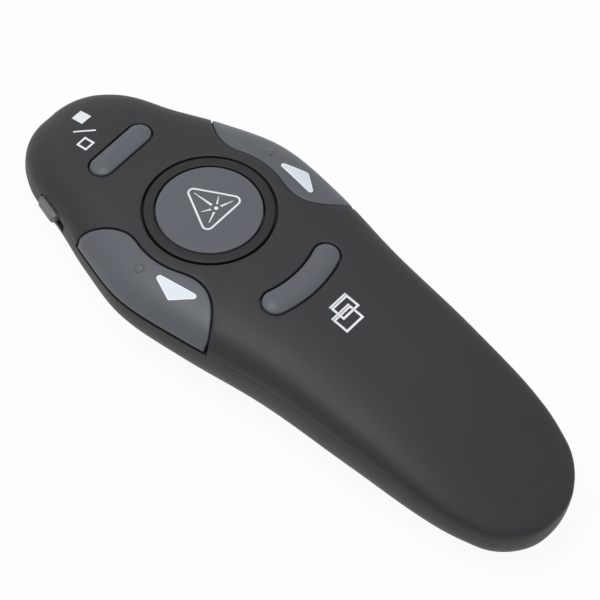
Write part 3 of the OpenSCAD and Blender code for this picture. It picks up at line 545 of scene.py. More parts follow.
# Keys, as the solids have them; a hold is how deep below the skin a key's flange starts
keys = {
    "ringY": 22.9, "laserR": 10.1, "gap": 0.35, "band": 1.9, "ringGap": 0.5,
    "ringFoot": 2.5, "ringShelf": 1.7, "ringOverlap": 0.2, "ringCrown": 0.03, "ringCount": 144,
    "frontY": 45.3, "frontSpan": 10.3, "frontWidth": 4.7, "frontStem": -0.6,
    "rearReach": 23.9, "rearWidth": 5.1, "rearSweep": 35, "rearStem": 0.2, "proud": 0.8,
    "frontLean": 6, "land": 2.45, "wingWrap": 20, "wingFrontY": 38.8, "wingRearY": 4.1, "wingDrop": 0.59,
    "flangeReach": 0.5, "flangeT": 0.8, "laserHold": 2.6, "narrowHold": 2.2, "soften": 0.2,
    "stemR": 1.8, "stemOverlap": 0.4, "laserSteps": 12, "narrowSteps": 9, "sharperThan": 35,
    "wingSpot": (16.6, 17.0), "dotSpot": (18.3, 24.0), "dotR": 1.0, "dotUp": 0.35, "dotRoot": 0.8,
}
ringHoleR = keys["laserR"] + keys["gap"] + keys["band"] + keys["ringGap"]
wingInR = ringHoleR + keys["land"]
# the side key's edge: how it leaves the housing at each end, and how far each bend reaches
wingBend = {
    "frontWay": (0.8, 0.6), "rearWay": (0.87, -0.5), "past": (1.5, 4, 9),
    "frontReach": (4.5, 4.2), "rearReach": (6.5, 8), "steps": 24, "arcSteps": 14, "outside": 30, "level": 0.05,
}


def bezier(p, t):
    return sum((math.comb(3, i) * (1 - t) ** (3 - i) * t ** i * p[i] for i in range(4)), Vector((0, 0)))


def wingLine(grow):
    # the right side key's edge from its front corner to its rear one, grown by an amount
    wrap = math.radians(keys["wingWrap"])
    front = Vector((halfWidth(keys["wingFrontY"]), keys["wingFrontY"]))
    rear = Vector((halfWidth(keys["wingRearY"]), keys["wingRearY"]))
    p = Vector((wingInR * math.cos(wrap), keys["ringY"] + wingInR * math.sin(wrap)))
    q = Vector((p.x, 2 * keys["ringY"] - p.y))
    along = Vector((-math.sin(wrap), math.cos(wrap)))
    back = Vector((along.x, -along.y))
    exitFront, exitRear = Vector(wingBend["frontWay"]), Vector(wingBend["rearWay"])
    frontLobe = [front, front - wingBend["frontReach"][0] * exitFront, p + wingBend["frontReach"][1] * along, p]
    rearLobe = [q, q + wingBend["rearReach"][0] * back, rear - wingBend["rearReach"][1] * exitRear, rear]
    steps, arcSteps = wingBend["steps"], wingBend["arcSteps"]
    turns = [wrap * (1 - i / arcSteps) for i in range(2 * arcSteps)]
    line = [front + reach * exitFront for reach in reversed(wingBend["past"])]
    line += [bezier(frontLobe, i / steps) for i in range(steps)]
    line += [Vector((wingInR * math.cos(a), keys["ringY"] + wingInR * math.sin(a))) for a in turns]
    line += [bezier(rearLobe, i / steps) for i in range(steps + 1)]
    line += [rear + reach * exitRear for reach in wingBend["past"]]
    outside = Vector((wingBend["outside"], keys["ringY"]))
    moved = []
    for i, point in enumerate(line):
        way = (line[min(i + 1, len(line) - 1)] - line[max(i - 1, 0)]).normalized()
        out = Vector((way.y, -way.x))
        if out.x > 0 and abs(way.y) > wingBend["level"] or out.dot(outside - point) > 0:
            out = -out
        moved.append(((point + grow * out).to_tuple(), out.to_tuple()))
    return moved


# Both shells: close lofts of the same form, parted with a stepped lip
shellDetail = {"stations": 120, "arc": 72, "inner": 18, "dense": 240, "sharperThan": 32}
# a boss is its radius and its lowest point
fastenings = {
    "caseScrews": [(10.5, 38.5), (-10.5, 38.5), (11.6, 6.6), (-11.6, 6.6), (0, -58.6)],
    "boardScrews": [(0, 38.6), (13.4, -1.3), (-13.4, -1.3)],
    "caseBoss": (2.2, 7.7), "boardBoss": (1.9, boardTop),
    "pilotR": 0.99, "casePilotTop": 13.1, "casePilotRoof": 0.2, "boardPilotTop": 15.5,
}
openingFloor = {"ring": boardTop + 3, "front": boardTop + 2, "rear": form["seamMid"], "wing": 1.0}
laserWay = {"z": 7.1, "barrelY": 47, "barrelR": 3.05, "barrelLength": 14.6,
            "exitY": 60.2, "exitR": 3.15, "exitLength": 10}
slot = {"y": 49.0, "reach": 3, "low": (-3, -5.45, -1.4), "high": (2.7, 3.05, 1.4)}


def evenly(line, count):
    # the same line with count + 1 points at even steps
    reach = [0.0]
    for a, b in zip(line, line[1:]):
        reach.append(reach[-1] + math.dist(a, b))
    if reach[-1] < 1e-6:
        return [line[0]] * (count + 1)
    result, k = [], 0
    for i in range(count + 1):
        want = reach[-1] * i / count
        while k < len(line) - 2 and reach[k + 1] < want:
            k += 1
        t = clamp01((want - reach[k]) / max(1e-9, reach[k + 1] - reach[k]))
        result.append(tuple(a + (b - a) * t for a, b in zip(line[k], line[k + 1])))
    return result


def stationAt(i, count):
    # stations crowd towards both ends, where the form turns most
    return (1 - math.cos(math.pi * i / count)) / 2


def stationY(s, depth=0.0):
    return (0.5 - s) * (form["length"] - 2 * depth)


def sectionRow(y, wide, power, heightAt, count):
    # half a section, from its right end over to its left one
    row = []
    for j in range(shellDetail["dense"] + 1):
        a = math.pi * j / shellDetail["dense"]
        c = math.cos(a)
        row.append((wide * math.copysign(abs(c) ** power, c), y, heightAt(abs(math.sin(a)))))
    return evenly(row, count)


def topRow(depth, s, count):
    y, high = stationY(s, depth), crownHigh(s, depth)
    powerX, powerZ = 2 / curveAt(form["powerX"], s), 2 / curveAt(form["powerZ"], s)
    z0 = seamZ(y) + form["seamGap"] / 2
    return sectionRow(y, planWide(s, depth), powerX, lambda up: z0 + high * up ** powerZ, count)


def bellyRow(depth, s, count):
    y = stationY(s, depth)
    z0 = seamZ(y) - form["seamGap"] / 2
    rise = (form["noseRise"] if y > 0 else form["tailRise"]) * abs(y / halfLength) ** form["riseCurve"]
    deep = (z0 - rise + form["bellyFlat"] - depth) * endCap(s) ** form["bellyEnd"]
    power = 2 / form["bellyPower"]
    return sectionRow(y, planWide(s, depth), power, lambda down: max(depth, z0 - deep * down ** power), count)


def lipAt(s):
    # the lip fades out beside the side keys, which reach down to the parting line
    middle = (keys["wingFrontY"] + keys["wingRearY"]) / 2
    reach = (keys["wingFrontY"] - keys["wingRearY"]) / 2 + form["lipClear"]
    fade = clamp01((abs(stationY(s) - middle) - reach) / form["lipFade"])
    high = min(form["lip"], form["lipShare"] * (curveAt(form["crown"], s) - form["wall"]))
    return high * endCap(s) ** form["crownEnd"] * max(form["lipLeast"], fade)


def shellRings(rowAt, step, base, lipUp):
    # the outer skin, the lip's step down to the inner skin, and back up the other side
    wall = form["wall"]

    def rim(s, depth, side, up):
        y = stationY(s, depth)
        return (side * planWide(s, depth), y, seamZ(y) + base + up)

    rings = []
    for i in range(shellDetail["stations"] + 1):
        s = stationAt(i, shellDetail["stations"])
        up = lipAt(s) + lipUp
        inside = rowAt(wall, s, shellDetail["inner"])[1:-1][::-1]
        rings.append(rowAt(0, s, shellDetail["arc"])
                     + [rim(s, step, -1, 0), rim(s, step, -1, up), rim(s, wall, -1, up)] + inside
                     + [rim(s, wall, 1, up), rim(s, step, 1, up), rim(s, step, 1, 0)])
    return rings


def sliderPlace(x, y, z):
    # the slider's own frame, turned to lie along the left side
    y0, reach = slot["y"], slot["reach"]
    turn = math.atan((halfWidth(y0 + reach) - halfWidth(y0 - reach)) / (2 * reach))
    return (-halfWidth(y0) + x * math.cos(turn) - y * math.sin(turn),
            y0 + x * math.sin(turn) + y * math.cos(turn), seamZ(y0) + z)


def endTools():
    # what both shells leave free: the laser's exit and the slider's slot
    exitWay = forward(0, laserWay["exitY"], laserWay["z"])
    return [post(exitWay, laserWay["exitR"], 0, laserWay["exitLength"]),
            block(slot["low"], slot["high"], sliderPlace)]


def upperShell():
    wall, gap = form["wall"], form["seamGap"]
    rings = shellRings(topRow, wall / 2, gap / 2, gap)
    shell = meshPiece("upper_shell_skin", *loft(rings), finishes["softTouchTop"])
    bosses = []
    for places, (radius, low) in ((fastenings["caseScrews"], fastenings["caseBoss"]),
                                  (fastenings["boardScrews"], fastenings["boardBoss"])):
        bosses += [post(upright(x, y), radius, low, roofZ(x, y, wall) + wall / 2) for x, y in places]
    carve(shell, bosses, "UNION")
    bar = barOutline(0, keys["frontY"], keys["frontSpan"], keys["frontWidth"] + 2 * keys["gap"])
    bent = arcBarOutline(0, keys["ringY"], keys["rearReach"], keys["rearSweep"], keys["rearWidth"] + 2 * keys["gap"])
    tools = [
        openingTool(circleOutline(0, keys["ringY"], ringHoleR), openingFloor["ring"], keys["soften"], "ring tool"),
        openingTool(bar, openingFloor["front"], keys["soften"], "front tool"),
        openingTool(bent, openingFloor["rear"], keys["soften"], "rear tool"),
    ]
    wing = wingLine(keys["gap"] / 2)
    for side in (1, -1):
        edge = [((side * p[0], p[1]), (side * out[0], out[1])) for p, out in wing]
        tools.append(openingTool(edge, openingFloor["wing"], openingEdge["wingSoften"], "wing tool"))
    for x, y in fastenings["caseScrews"]:
        high = min(fastenings["casePilotTop"], roofZ(x, y, wall) - fastenings["casePilotRoof"])
        tools.append(post(upright(x, y), fastenings["pilotR"], 0, high))
    tools += [post(upright(x, y), fastenings["pilotR"], 0, fastenings["boardPilotTop"])
              for x, y in fastenings["boardScrews"]]
    carve(shell, tools + endTools())
    dress(shell, finishes["softTouchTop"], shellDetail["sharperThan"])
    return standsFor(shell, "upper_shell", "housing", "case")


upperShell()
print("stage: upper shell")


# Lower shell: the belly, with its bay, dock, posts and cradles
belly = {
    "postR": 2.5, "postTop": 7.6, "headR": 2.15, "seat": 4.2, "shankR": 1.1,
    "bayWalls": [-6.3, -55.6], "bayWall": 1.2, "bayTop": 11.4, "bayHalf": 23.3,
    "door": ((-11.75, -53.45, -1.0), (11.75, -7.0, 6.5)),
    "dockBlock": ((-8.6, 5.4, 0.0), (8.6, 26.6, 7.8)), "dock": ((-7.6, 6.4, -1.0), (7.6, 25.6, 6.8)),
    "cradles": [49.0, 58.0], "cradleHalf": 4.2, "cradleThin": 0.8,
    "scoops": [-5.75, 26.1], "scoopR": 8.0, "scoopZ": -7.1, "scoopSteps": 40, "scoopCount": 80,
    "coreStations": 48, "coreArc": 40,
}


def lowerShell():
    wall, gap, finish = form["wall"], form["seamGap"], finishes["softTouchBelly"]
    shell = meshPiece("lower_shell_skin", *loft(shellRings(bellyRow, wall / 2 + gap, -gap / 2, 0)), finish)
    stations = belly["coreStations"]
    core = meshPiece("core", *loft([bellyRow(wall / 2, stationAt(i, stations), belly["coreArc"])
                                    for i in range(stations + 1)]), finish)
    bayHalf, cradleHalf, thin = belly["bayHalf"], belly["cradleHalf"], belly["cradleThin"]
    inner = [block((-bayHalf, y, 0), (bayHalf, y + belly["bayWall"], belly["bayTop"])) for y in belly["bayWalls"]]
    inner += [block((-cradleHalf, y - thin, 0), (cradleHalf, y + thin, laserWay["z"])) for y in belly["cradles"]]
    inner += [post(upright(x, y), belly["postR"], 0, belly["postTop"]) for x, y in fastenings["caseScrews"]]
    whole = carve(block(*belly["dockBlock"]), inner, "UNION")
    carve(whole, [core], "INTERSECT")
    carve(shell, [whole], "UNION")
    turns = [math.pi * i / belly["scoopSteps"] for i in range(belly["scoopSteps"] + 1)]
    ball = [(belly["scoopR"] * math.sin(a), -belly["scoopR"] * math.cos(a)) for a in turns]
    tools = [block(*belly["door"]), block(*belly["dock"])]
    tools += [meshPiece("scoop", *lathe(ball, upright(0, y, belly["scoopZ"]), belly["scoopCount"]), finish)
              for y in belly["scoops"]]
    for x, y in fastenings["caseScrews"]:
        tools += [post(upright(x, y), belly["headR"], -1, belly["seat"]),
                  post(upright(x, y), belly["shankR"], 0, belly["postTop"] + 1)]
    tools.append(post(forward(0, laserWay["barrelY"], laserWay["z"]), laserWay["barrelR"], 0,
                      laserWay["barrelLength"]))
    carve(shell, tools + endTools())
    dress(shell, finish, shellDetail["sharperThan"])
    return standsFor(shell, "lower_shell", "housing", "case")


lowerShell()
print("stage: lower shell")


# Keys and trim ring
def rounding(radius, steps=4):
    # steps over a rounded edge, from the side up to the top: how far in and how deep
    angles = [math.pi / 2 * i / steps for i in range(steps + 1)]
    return [(radius * (1 - math.cos(a)), radius * (1 - math.sin(a))) for a in angles]


def laserKey():
    big, hold, steps = keys["laserR"], keys["laserHold"], keys["laserSteps"]
    foot = hold + keys["flangeT"]
    flange = big + keys["gap"] + keys["flangeReach"]
    profile = [((big - keys["soften"]) * i / steps, 0.0) for i in range(steps)]
    profile += [(big - into, deep) for into, deep in reversed(rounding(keys["soften"]))]
    profile += [(big, hold), (flange, hold), (flange, foot), (keys["stemR"], foot)]
    rings = [[(x, y, roofZ(x, y) - deep) for (x, y), out in circleOutline(0, keys["ringY"], radius)]
             for radius, deep in profile]
    rings += [[(x, y, plungerTop) for (x, y), out in circleOutline(0, keys["ringY"], radius)]
              for radius in (keys["stemR"], 0.0)]
    key = meshPiece("laser_key_cap", *loft(rings), finishes["keyPlastic"])
    return standsFor(key, "laser_button", "keys", "laser_key")


def trimRing():
    inner = keys["laserR"] + keys["gap"]
    outer = inner + keys["band"]
    edge = rounding(keys["soften"])
    flange = ringHoleR + keys["flangeReach"] + keys["ringOverlap"]
    profile = [(inner, keys["ringFoot"])] + [(inner + into, deep) for into, deep in edge]
    profile += [((inner + outer) / 2, -keys["ringCrown"])] + [(outer - into, deep) for into, deep in reversed(edge)]
    profile += [(outer, keys["ringShelf"]), (flange, keys["ringShelf"]), (flange, keys["ringFoot"])]
    rings = [[(x, y, roofZ(x, y) - deep)
              for (x, y), out in circleOutline(0, keys["ringY"], radius, keys["ringCount"])]
             for radius, deep in profile]
    ring = meshPiece("trim_ring", *loft(rings, closed=True), finishes["ringPlastic"])
    return standsFor(ring, "ring_bezel", "housing", "case")


def crownedKey(name, outline, width, topAt, stem, node, body):
    # a narrow key, crowned across its width, with its flange and stem below
    crownR = (width * width / 4 + keys["proud"] ** 2) / (2 * keys["proud"])
    hold, steps = keys["narrowHold"], keys["narrowSteps"]
    foot = hold + keys["flangeT"]
    reach = keys["gap"] + keys["flangeReach"]
    rings = []

    def layer(radius, drop):
        rise = keys["proud"] - crownR + math.sqrt(max(0.0, crownR ** 2 - radius ** 2))
        rings.append([(x, y, topAt(x, y) + rise - drop) for x, y in grown(outline, radius - width / 2)])

    for i in range(steps):
        layer((width / 2 - keys["soften"]) * i / steps, 0)
    for into, deep in reversed(rounding(keys["soften"])):
        layer(width / 2 - into, deep)
    for amount, deep in ((0, hold), (reach, hold), (reach, foot)):
        rings.append([(x, y, topAt(x, y) - deep) for x, y in grown(outline, amount)])
    key = meshPiece(name, *loft(rings), finishes["keyPlastic"])
    high = topAt(*stem) - foot + keys["stemOverlap"]
    carve(key, [post(upright(*stem), keys["stemR"], plungerTop, high)], "UNION")
    dress(key, finishes["keyPlastic"], keys["sharperThan"])
    return standsFor(key, node, "keys", body)


def frontKey():
    y0, reach = keys["frontY"], keys["frontLean"]
    top = placingRoof(0, y0)
    lean = (roofZ(0, y0 + reach) - roofZ(0, y0 - reach)) / (2 * reach)
    outline = barOutline(0, y0, keys["frontSpan"], keys["frontWidth"])
    return crownedKey("front_key_cap", outline, keys["frontWidth"], lambda x, y: top + (y - y0) * lean,
                      (0, y0 + keys["frontStem"]), "blank_screen_button", "blank_screen_key")


def rearKey():
    y0 = keys["ringY"] - keys["rearReach"]
    top = placingRoof(0, y0)
    outline = arcBarOutline(0, keys["ringY"], keys["rearReach"], keys["rearSweep"], keys["rearWidth"])
    return crownedKey("rear_key_cap", outline, keys["rearWidth"], lambda x, y: top,
                      (0, y0 + keys["rearStem"]), "window_button", "window_key")


# Side keys: a piece of the housing's skin, laid out flat by height round the section
sideKey = {
    "grid": 1.1, "clear": 0.45, "soften": 0.3, "wallDepth": 1.85, "flangeDepth": 2.65, "steps": 90,
    "crowding": 1.5, "seamInset": -0.5, "seamSteps": 40, "seamLeast": 0.05, "sideClear": 0.02,
    "dropShare": 1.3, "probe": 0.02, "stemInto": 0.1, "dotSteps": 8, "dotCount": 40,
}


@functools.lru_cache(maxsize=None)
def sectionTable(y):
    # points up the right side at y, each with its way from the parting line
    s = shareOf(y)
    wide, high = planWide(s), crownHigh(s)
    powerX, powerZ = 2 / curveAt(form["powerX"], s), 2 / curveAt(form["powerZ"], s)
    z0 = seamZ(y) + form["seamGap"] / 2
    table, way = [], 0.0
    for i in range(sideKey["steps"] + 1):
        a = math.pi / 2 * (i / sideKey["steps"]) ** sideKey["crowding"]
        point = (wide * abs(math.cos(a)) ** powerX, z0 + high * math.sin(a) ** powerZ)
        if table:
            way += math.dist(point, table[-1][:2])
        table.append((*point, way))
    return table


def unrolled(y, way):
    table = sectionTable(round(y, 4))
    k = 0
    while k < len(table) - 2 and table[k + 1][2] < way:
        k += 1
    a, b = table[k], table[k + 1]
    t = (way - a[2]) / max(1e-9, b[2] - a[2])
    return Vector((a[0] + (b[0] - a[0]) * t, y, a[1] + (b[1] - a[1]) * t))


def wayUp(y, x):
    # how far round the section the point x lies
    table = sectionTable(round(y, 4))
    for a, b in zip(table, table[1:]):
        if b[0] <= x <= a[0]:
            return a[2] + (b[2] - a[2]) * (a[0] - x) / max(1e-9, a[0] - b[0])
    return 0.0


def skinLevel(x, y, z):
    # nought on the upper skin, more outside it
    s = shareOf(y)
    z0 = seamZ(y) + form["seamGap"] / 2
    across, up = abs(x) / planWide(s), max(0.0, z - z0) / crownHigh(s)
    return across ** curveAt(form["powerX"], s) + up ** curveAt(form["powerZ"], s) - 1


def skinNormal(p):
    h = sideKey["probe"]
    g = Vector([skinLevel(*(p + h * e)) - skinLevel(*(p - h * e))
                for e in (Vector((1, 0, 0)), Vector((0, 1, 0)), Vector((0, 0, 1)))])
    return g.normalized()


def insideOf(q, outline):
    found = False
    for a, b in zip(outline, outline[1:] + outline[:1]):
        if (a.y > q.y) != (b.y > q.y) and q.x < (b.x - a.x) * (q.y - a.y) / (b.y - a.y) + a.x:
            found = not found
    return found


def evenFill(marks, step, clear):
    # triangles that fill an outline, over even points that keep clear of its edge
    low = (min(q.x for q in marks), min(q.y for q in marks))
    high = (max(q.x for q in marks), max(q.y for q in marks))
    extra = []
    for i in range(1, int((high[0] - low[0]) / step) + 1):
        for j in range(1, int((high[1] - low[1]) / step) + 1):
            q = Vector((low[0] + i * step, low[1] + j * step))
            if insideOf(q, marks) and min((q - m).length for m in marks) > clear * step:
                extra.append(q)
    made = delaunay_2d_cdt(marks + extra, [], [list(range(len(marks)))], 1, 1e-6)
    return made[0], [list(cell) for cell in made[2]]


def wingKeyMesh():
    edge = [p for p, out in wingLine(-keys["gap"] / 2)]
    least = keys["wingDrop"] * sideKey["dropShare"]
    inside = [(x, y) for x, y in edge if 0 < x < halfWidth(y) - sideKey["sideClear"] and wayUp(y, x) > least]
    flat = [(y, wayUp(y, x)) for x, y in inside]
    rearY, frontY = flat[-1][0], flat[0][0]
    bottom = []
    for i in range(sideKey["seamSteps"] + 1):
        y = rearY + (frontY - rearY) * i / sideKey["seamSteps"]
        s = shareOf(y)
        rise = keys["wingDrop"] / crownHigh(s)
        x = planWide(s) * (1 - rise ** curveAt(form["powerZ"], s)) ** (1 / curveAt(form["powerX"], s))
        bottom.append((y, wayUp(y, x)))
    outline = flat + bottom
    onSeam = [False] * len(flat) + [True] * len(bottom)
    count = len(outline)
    outs = []
    for i in range(count):
        before = Vector(outline[i]) - Vector(outline[i - 1])
        after = Vector(outline[(i + 1) % count]) - Vector(outline[i])
        way = (before.normalized() + after.normalized()).normalized()
        outs.append(Vector((-way.y, way.x)))
    middle = Vector((sum(p[0] for p in outline) / count, sum(p[1] for p in outline) / count))
    if sum(out.dot(Vector(p) - middle) for p, out in zip(outline, outs)) < 0:
        outs = [-out for out in outs]

    def border(amount, seamAmount):
        # the outline moved out by an amount, with its own one along the parting line
        return [Vector(p) + (seamAmount if seam else amount) * out for p, out, seam in zip(outline, outs, onSeam)]

    def underSkin(line, deep):
        spots = [unrolled(q.x, max(sideKey["seamLeast"], q.y)) for q in line]
        return [(spot - skinNormal(spot) * deep).to_tuple() for spot in spots]

    flange, plain = border(keys["gap"] + keys["flangeReach"], sideKey["seamInset"]), border(0, 0)
    rings = [underSkin(flange, sideKey["flangeDepth"]), underSkin(flange, sideKey["wallDepth"]),
             underSkin(plain, sideKey["wallDepth"])]
    rings += [underSkin(border(-into, -into), deep) for into, deep in rounding(sideKey["soften"])]
    points = [p for ring in rings for p in ring]
    faces = []
    for i in range(len(rings) - 1):
        for j in range(count):
            k = (j + 1) % count
            faces.append([i * count + j, i * count + k, (i + 1) * count + k, (i + 1) * count + j])
    top = border(-sideKey["soften"], -sideKey["soften"])
    for line, deep in ((top, 0.0), (flange, sideKey["flangeDepth"])):
        spots, cells = evenFill(line, sideKey["grid"], sideKey["clear"])
        base = len(points)
        points += underSkin(spots, deep)
        faces += [[base + i for i in cell] for cell in cells]
    return points, faces


def sideKeys():
    points, faces = wingKeyMesh()
    dotX, dotY = keys["dotSpot"]
    stemX, stemY = keys["wingSpot"]
    # the dot's dome follows the sloping skin, so that its whole round edge shows
    turns = [math.pi / 2 * i / sideKey["dotSteps"] for i in range(sideKey["dotSteps"] + 1)]
    dome = [(0, -keys["dotRoot"]), (keys["dotR"], -keys["dotRoot"])]
    dome += [(keys["dotR"] * math.cos(a), keys["dotUp"] * math.sin(a)) for a in turns]
    dotRings = [[(x, y, roofZ(x, y) + up) for (x, y), out in circleOutline(dotX, dotY, radius, sideKey["dotCount"])]
                for radius, up in dome]
    high = roofZ(stemX, stemY, form["wall"]) + sideKey["stemInto"]
    for side, node, body in ((1, "next_button", "next_key"), (-1, "previous_button", "previous_key")):
        key = meshPiece(body + "_cap", [(side * x, y, z) for x, y, z in points], faces, finishes["keyPlastic"])
        stem = post(upright(side * stemX, stemY), keys["stemR"], plungerTop, high)
        dot = meshPiece("dot", *loft([[(side * x, y, z) for x, y, z in ring] for ring in dotRings]),
                        finishes["keyPlastic"])
        carve(key, [stem, dot], "UNION")
        dress(key, finishes["keyPlastic"], keys["sharperThan"])
        standsFor(key, node, "keys", body)


laserKey()
trimRing()
frontKey()
rearKey()
sideKeys()
print("stage: keys and trim ring")

# Pieces whose solids are right and only want smooth shading
smoothCopy("battery_door", "housing", "door", finishes["softTouchBelly"], 32)
smoothCopy("power_slider", "slider", "power", finishes["sliderPlastic"], 40, soften=0.3)
smoothCopy("receiver_cap", "black_plastic", "receiver", finishes["blackPlastic"], 40)
smoothCopy("usb_shield", "steel", "receiver", finishes["platedSteel"], 40)
smoothCopy("laser_barrel", "brass", "case", finishes["drawnBrass"], 40)
print("stage: smoothed copies")


# Turned pieces: a profile is a list of radii and heights
cell = {
    "x": 5.4, "z": 7.5, "leftY": -51.15, "rightY": -9.55, "count": 72,
    "profile": [(0, 0), (3.4, 0), (3.6, 0.15), (4.6, 0.15), (5.05, 0.0), (5.25, 0.25), (5.25, 43.2),
                (5.05, 43.5), (4.2, 43.38), (2.85, 43.38), (2.7, 43.5), (2.7, 44.25), (2.45, 44.5), (0, 44.5)],
}
exitRing = {
    "y": 60.5, "count": 64,
    "profile": [(1.6, 0), (3.1, 0), (3.1, 2.45), (2.95, 2.7), (2.75, 2.7), (2.4, 2.3), (1.6, 1.7)],
}
lens = {"y": 57.5, "radius": 2.1, "bulgeR": 3.4, "height": 1.8, "steps": 10, "count": 64}


def turnedPieces():
    left, right = forward(-cell["x"], cell["leftY"], cell["z"]), backward(cell["x"], cell["rightY"], cell["z"])
    wide, bulgeR, steps = lens["radius"], lens["bulgeR"], lens["steps"]
    turns = [math.asin(wide / bulgeR) * (1 - i / steps) for i in range(steps + 1)]
    bulge = [(0, 0), (wide, 0)]
    bulge += [(bulgeR * math.sin(a), lens["height"] - bulgeR + bulgeR * math.cos(a)) for a in turns]
    for name, solid, finish, node, slotName in (
            ("left_cell_turned", lathe(cell["profile"], left, cell["count"]),
             "leftJacket", "left_cell", "cell_jacket"),
            ("right_cell_turned", lathe(cell["profile"], right, cell["count"]),
             "rightJacket", "right_cell", "cell_jacket"),
            ("laser_exit_ring", lathe(exitRing["profile"], forward(0, exitRing["y"], laserWay["z"]),
                                      exitRing["count"], closed=True),
             "blackPlastic", "laser_bezel", "black_plastic"),
            ("laser_lens_turned", lathe(bulge, forward(0, lens["y"], laserWay["z"]), lens["count"]),
             "lensGlass", "laser_lens", "lens")):
        standsFor(meshPiece(name, *solid, finishes[finish]), node, slotName, "case")


turnedPieces()
print("stage: turned pieces")


# Geometry Nodes, for what repeats or follows a path
class Grower:
    # a tree with named inputs, whose result is taken as a plain mesh
    def __init__(self, name, inputs):
        self.tree = bpy.data.node_groups.new(name, "GeometryNodeTree")
        sockets = self.tree.interface
        sockets.new_socket("Geometry", in_out="INPUT", socket_type="NodeSocketGeometry")
        for label, kind in inputs.items():
            sockets.new_socket(label, in_out="INPUT", socket_type="NodeSocket" + kind)
        sockets.new_socket("Geometry", in_out="OUTPUT", socket_type="NodeSocketGeometry")
        self.start = self.tree.nodes.new("NodeGroupInput")

    def given(self, label):
        return Wire(self.tree, self.start.outputs[label])

    def add(self, kind, settings=None, outlet=0, **values):
        return addNode(self.tree, kind, settings, outlet, **values)

    def finish(self, geometry):
        whole = self.add("GeometryNodeRealizeInstances", Geometry=geometry)
        shown = self.add("GeometryNodeSetMaterial", Geometry=whole, Material=self.given("Material"))
        end = self.tree.nodes.new("NodeGroupOutput")
        self.tree.links.new(shown.socket, end.inputs[0])

    def grow(self, name, points, values, angle=35):
        mesh = bpy.data.meshes.new(name)
        mesh.from_pydata([[c / 1000 for c in p] for p in points], [], [])
        thing = bpy.data.objects.new(name, mesh)
        bpy.context.scene.collection.objects.link(thing)
        growing = thing.modifiers.new("grow", "NODES")
        growing.node_group = self.tree
        for item in self.tree.interface.items_tree:
            if item.in_out == "INPUT" and item.name in values:
                growing[item.identifier] = values[item.name]
        settle(thing)
        return dress(thing, values["Material"], angle)


def screwPattern():
    # the same screw at each place, each left at its own angle by the driver
    g = Grower("screws at places", {"Screw": "Object", "Most turn": "Float", "Seed": "Int", "Material": "Material"})
    screw = g.add("GeometryNodeObjectInfo", outlet=4, Object=g.given("Screw"))
    turn = g.add("FunctionNodeRandomValue", {"data_type": "FLOAT"}, outlet=1, Min=0.0, Max=g.given("Most turn"),
                 Seed=g.given("Seed"))
    way = g.add("ShaderNodeCombineXYZ", Z=turn)
    g.finish(g.add("GeometryNodeInstanceOnPoints", Points=g.given("Geometry"), Instance=screw, Rotation=way))
    return g


# Screws: the head's rounded corner as steps in and down, its cross recess, and the shank's point
screwForm = {
    "corner": [(0.55, 0), (0.2, 0.12), (0, 0.4)], "point": 0.5, "pointShare": 0.5,
    "bars": ((1.1, 0.26), (0.26, 1.1)), "barStart": 0.4, "barDepth": 0.6, "barTaper": 0.55,
}
# a screw's sizes are its head's radius and height, its shank's radius and length
screwSets = [
    {"node": "case_screws", "places": fastenings["caseScrews"], "seat": belly["seat"],
     "sizes": (1.9, 1.2, 0.95, 7.5), "seed": 4},
    {"node": "board_screws", "places": fastenings["boardScrews"], "seat": 10.5,
     "sizes": (1.7, 1.0, 0.95, 4.6), "seed": 9},
]
roofClear = 0.6


def oneScrew(headR, headH, shankR, length):
    # a rounded head with a cross recess, seen from below, on a shank
    profile = [(0, -headH)] + [(headR - into, -headH + down) for into, down in screwForm["corner"]]
    profile += [(headR, 0), (shankR, 0), (shankR, length - screwForm["point"]),
                (shankR * screwForm["pointShare"], length), (0, length)]
    screw = meshPiece("one screw", *lathe(profile, upright(0, 0)), finishes["screwSteel"])
    start, foot, taper = -headH - screwForm["barStart"], -headH + screwForm["barDepth"] * headH, screwForm["barTaper"]
    for wide, deep in screwForm["bars"]:
        ring = [(wide, deep), (-wide, deep), (-wide, -deep), (wide, -deep)]
        rings = [[(x, y, start) for x, y in ring], [(taper * x, taper * y, foot) for x, y in ring]]
        carve(screw, [meshPiece("bar", *loft(rings), finishes["screwSteel"])])
    return screw


def springPattern():
    # a conical spring wound up from its wide end, turned to lie along the cells
    sizes = {"Wide": "Float", "Narrow": "Float", "Height": "Float", "Turns": "Float", "Wire": "Float",
             "Place": "Vector", "Turn": "Vector", "Material": "Material"}
    g = Grower("conical spring", sizes)
    coil = g.add("GeometryNodeCurveSpiral", Resolution=40, Rotations=g.given("Turns"), **{
        "Start_Radius": g.given("Wide"), "End_Radius": g.given("Narrow"), "Height": g.given("Height")})
    section = g.add("GeometryNodeCurvePrimitiveCircle", {"mode": "RADIUS"}, Resolution=12, Radius=g.given("Wire"))
    wire = g.add("GeometryNodeCurveToMesh", Curve=coil, Profile_Curve=section, Fill_Caps=True)
    g.finish(g.add("GeometryNodeTransform", Geometry=wire, Translation=g.given("Place"), Rotation=g.given("Turn")))
    return g


# Springs, in metres: sizes, then the place and the turn of each
springSizes = {"Wide": 0.0036, "Narrow": 0.0018, "Height": 0.0024, "Turns": 3.5, "Wire": 0.00025}
springPlaces = [((0.0054, -0.0069, 0.0075), (math.pi / 2, 0, 0)),
                ((-0.0054, -0.0538, 0.0075), (-math.pi / 2, 0, 0))]


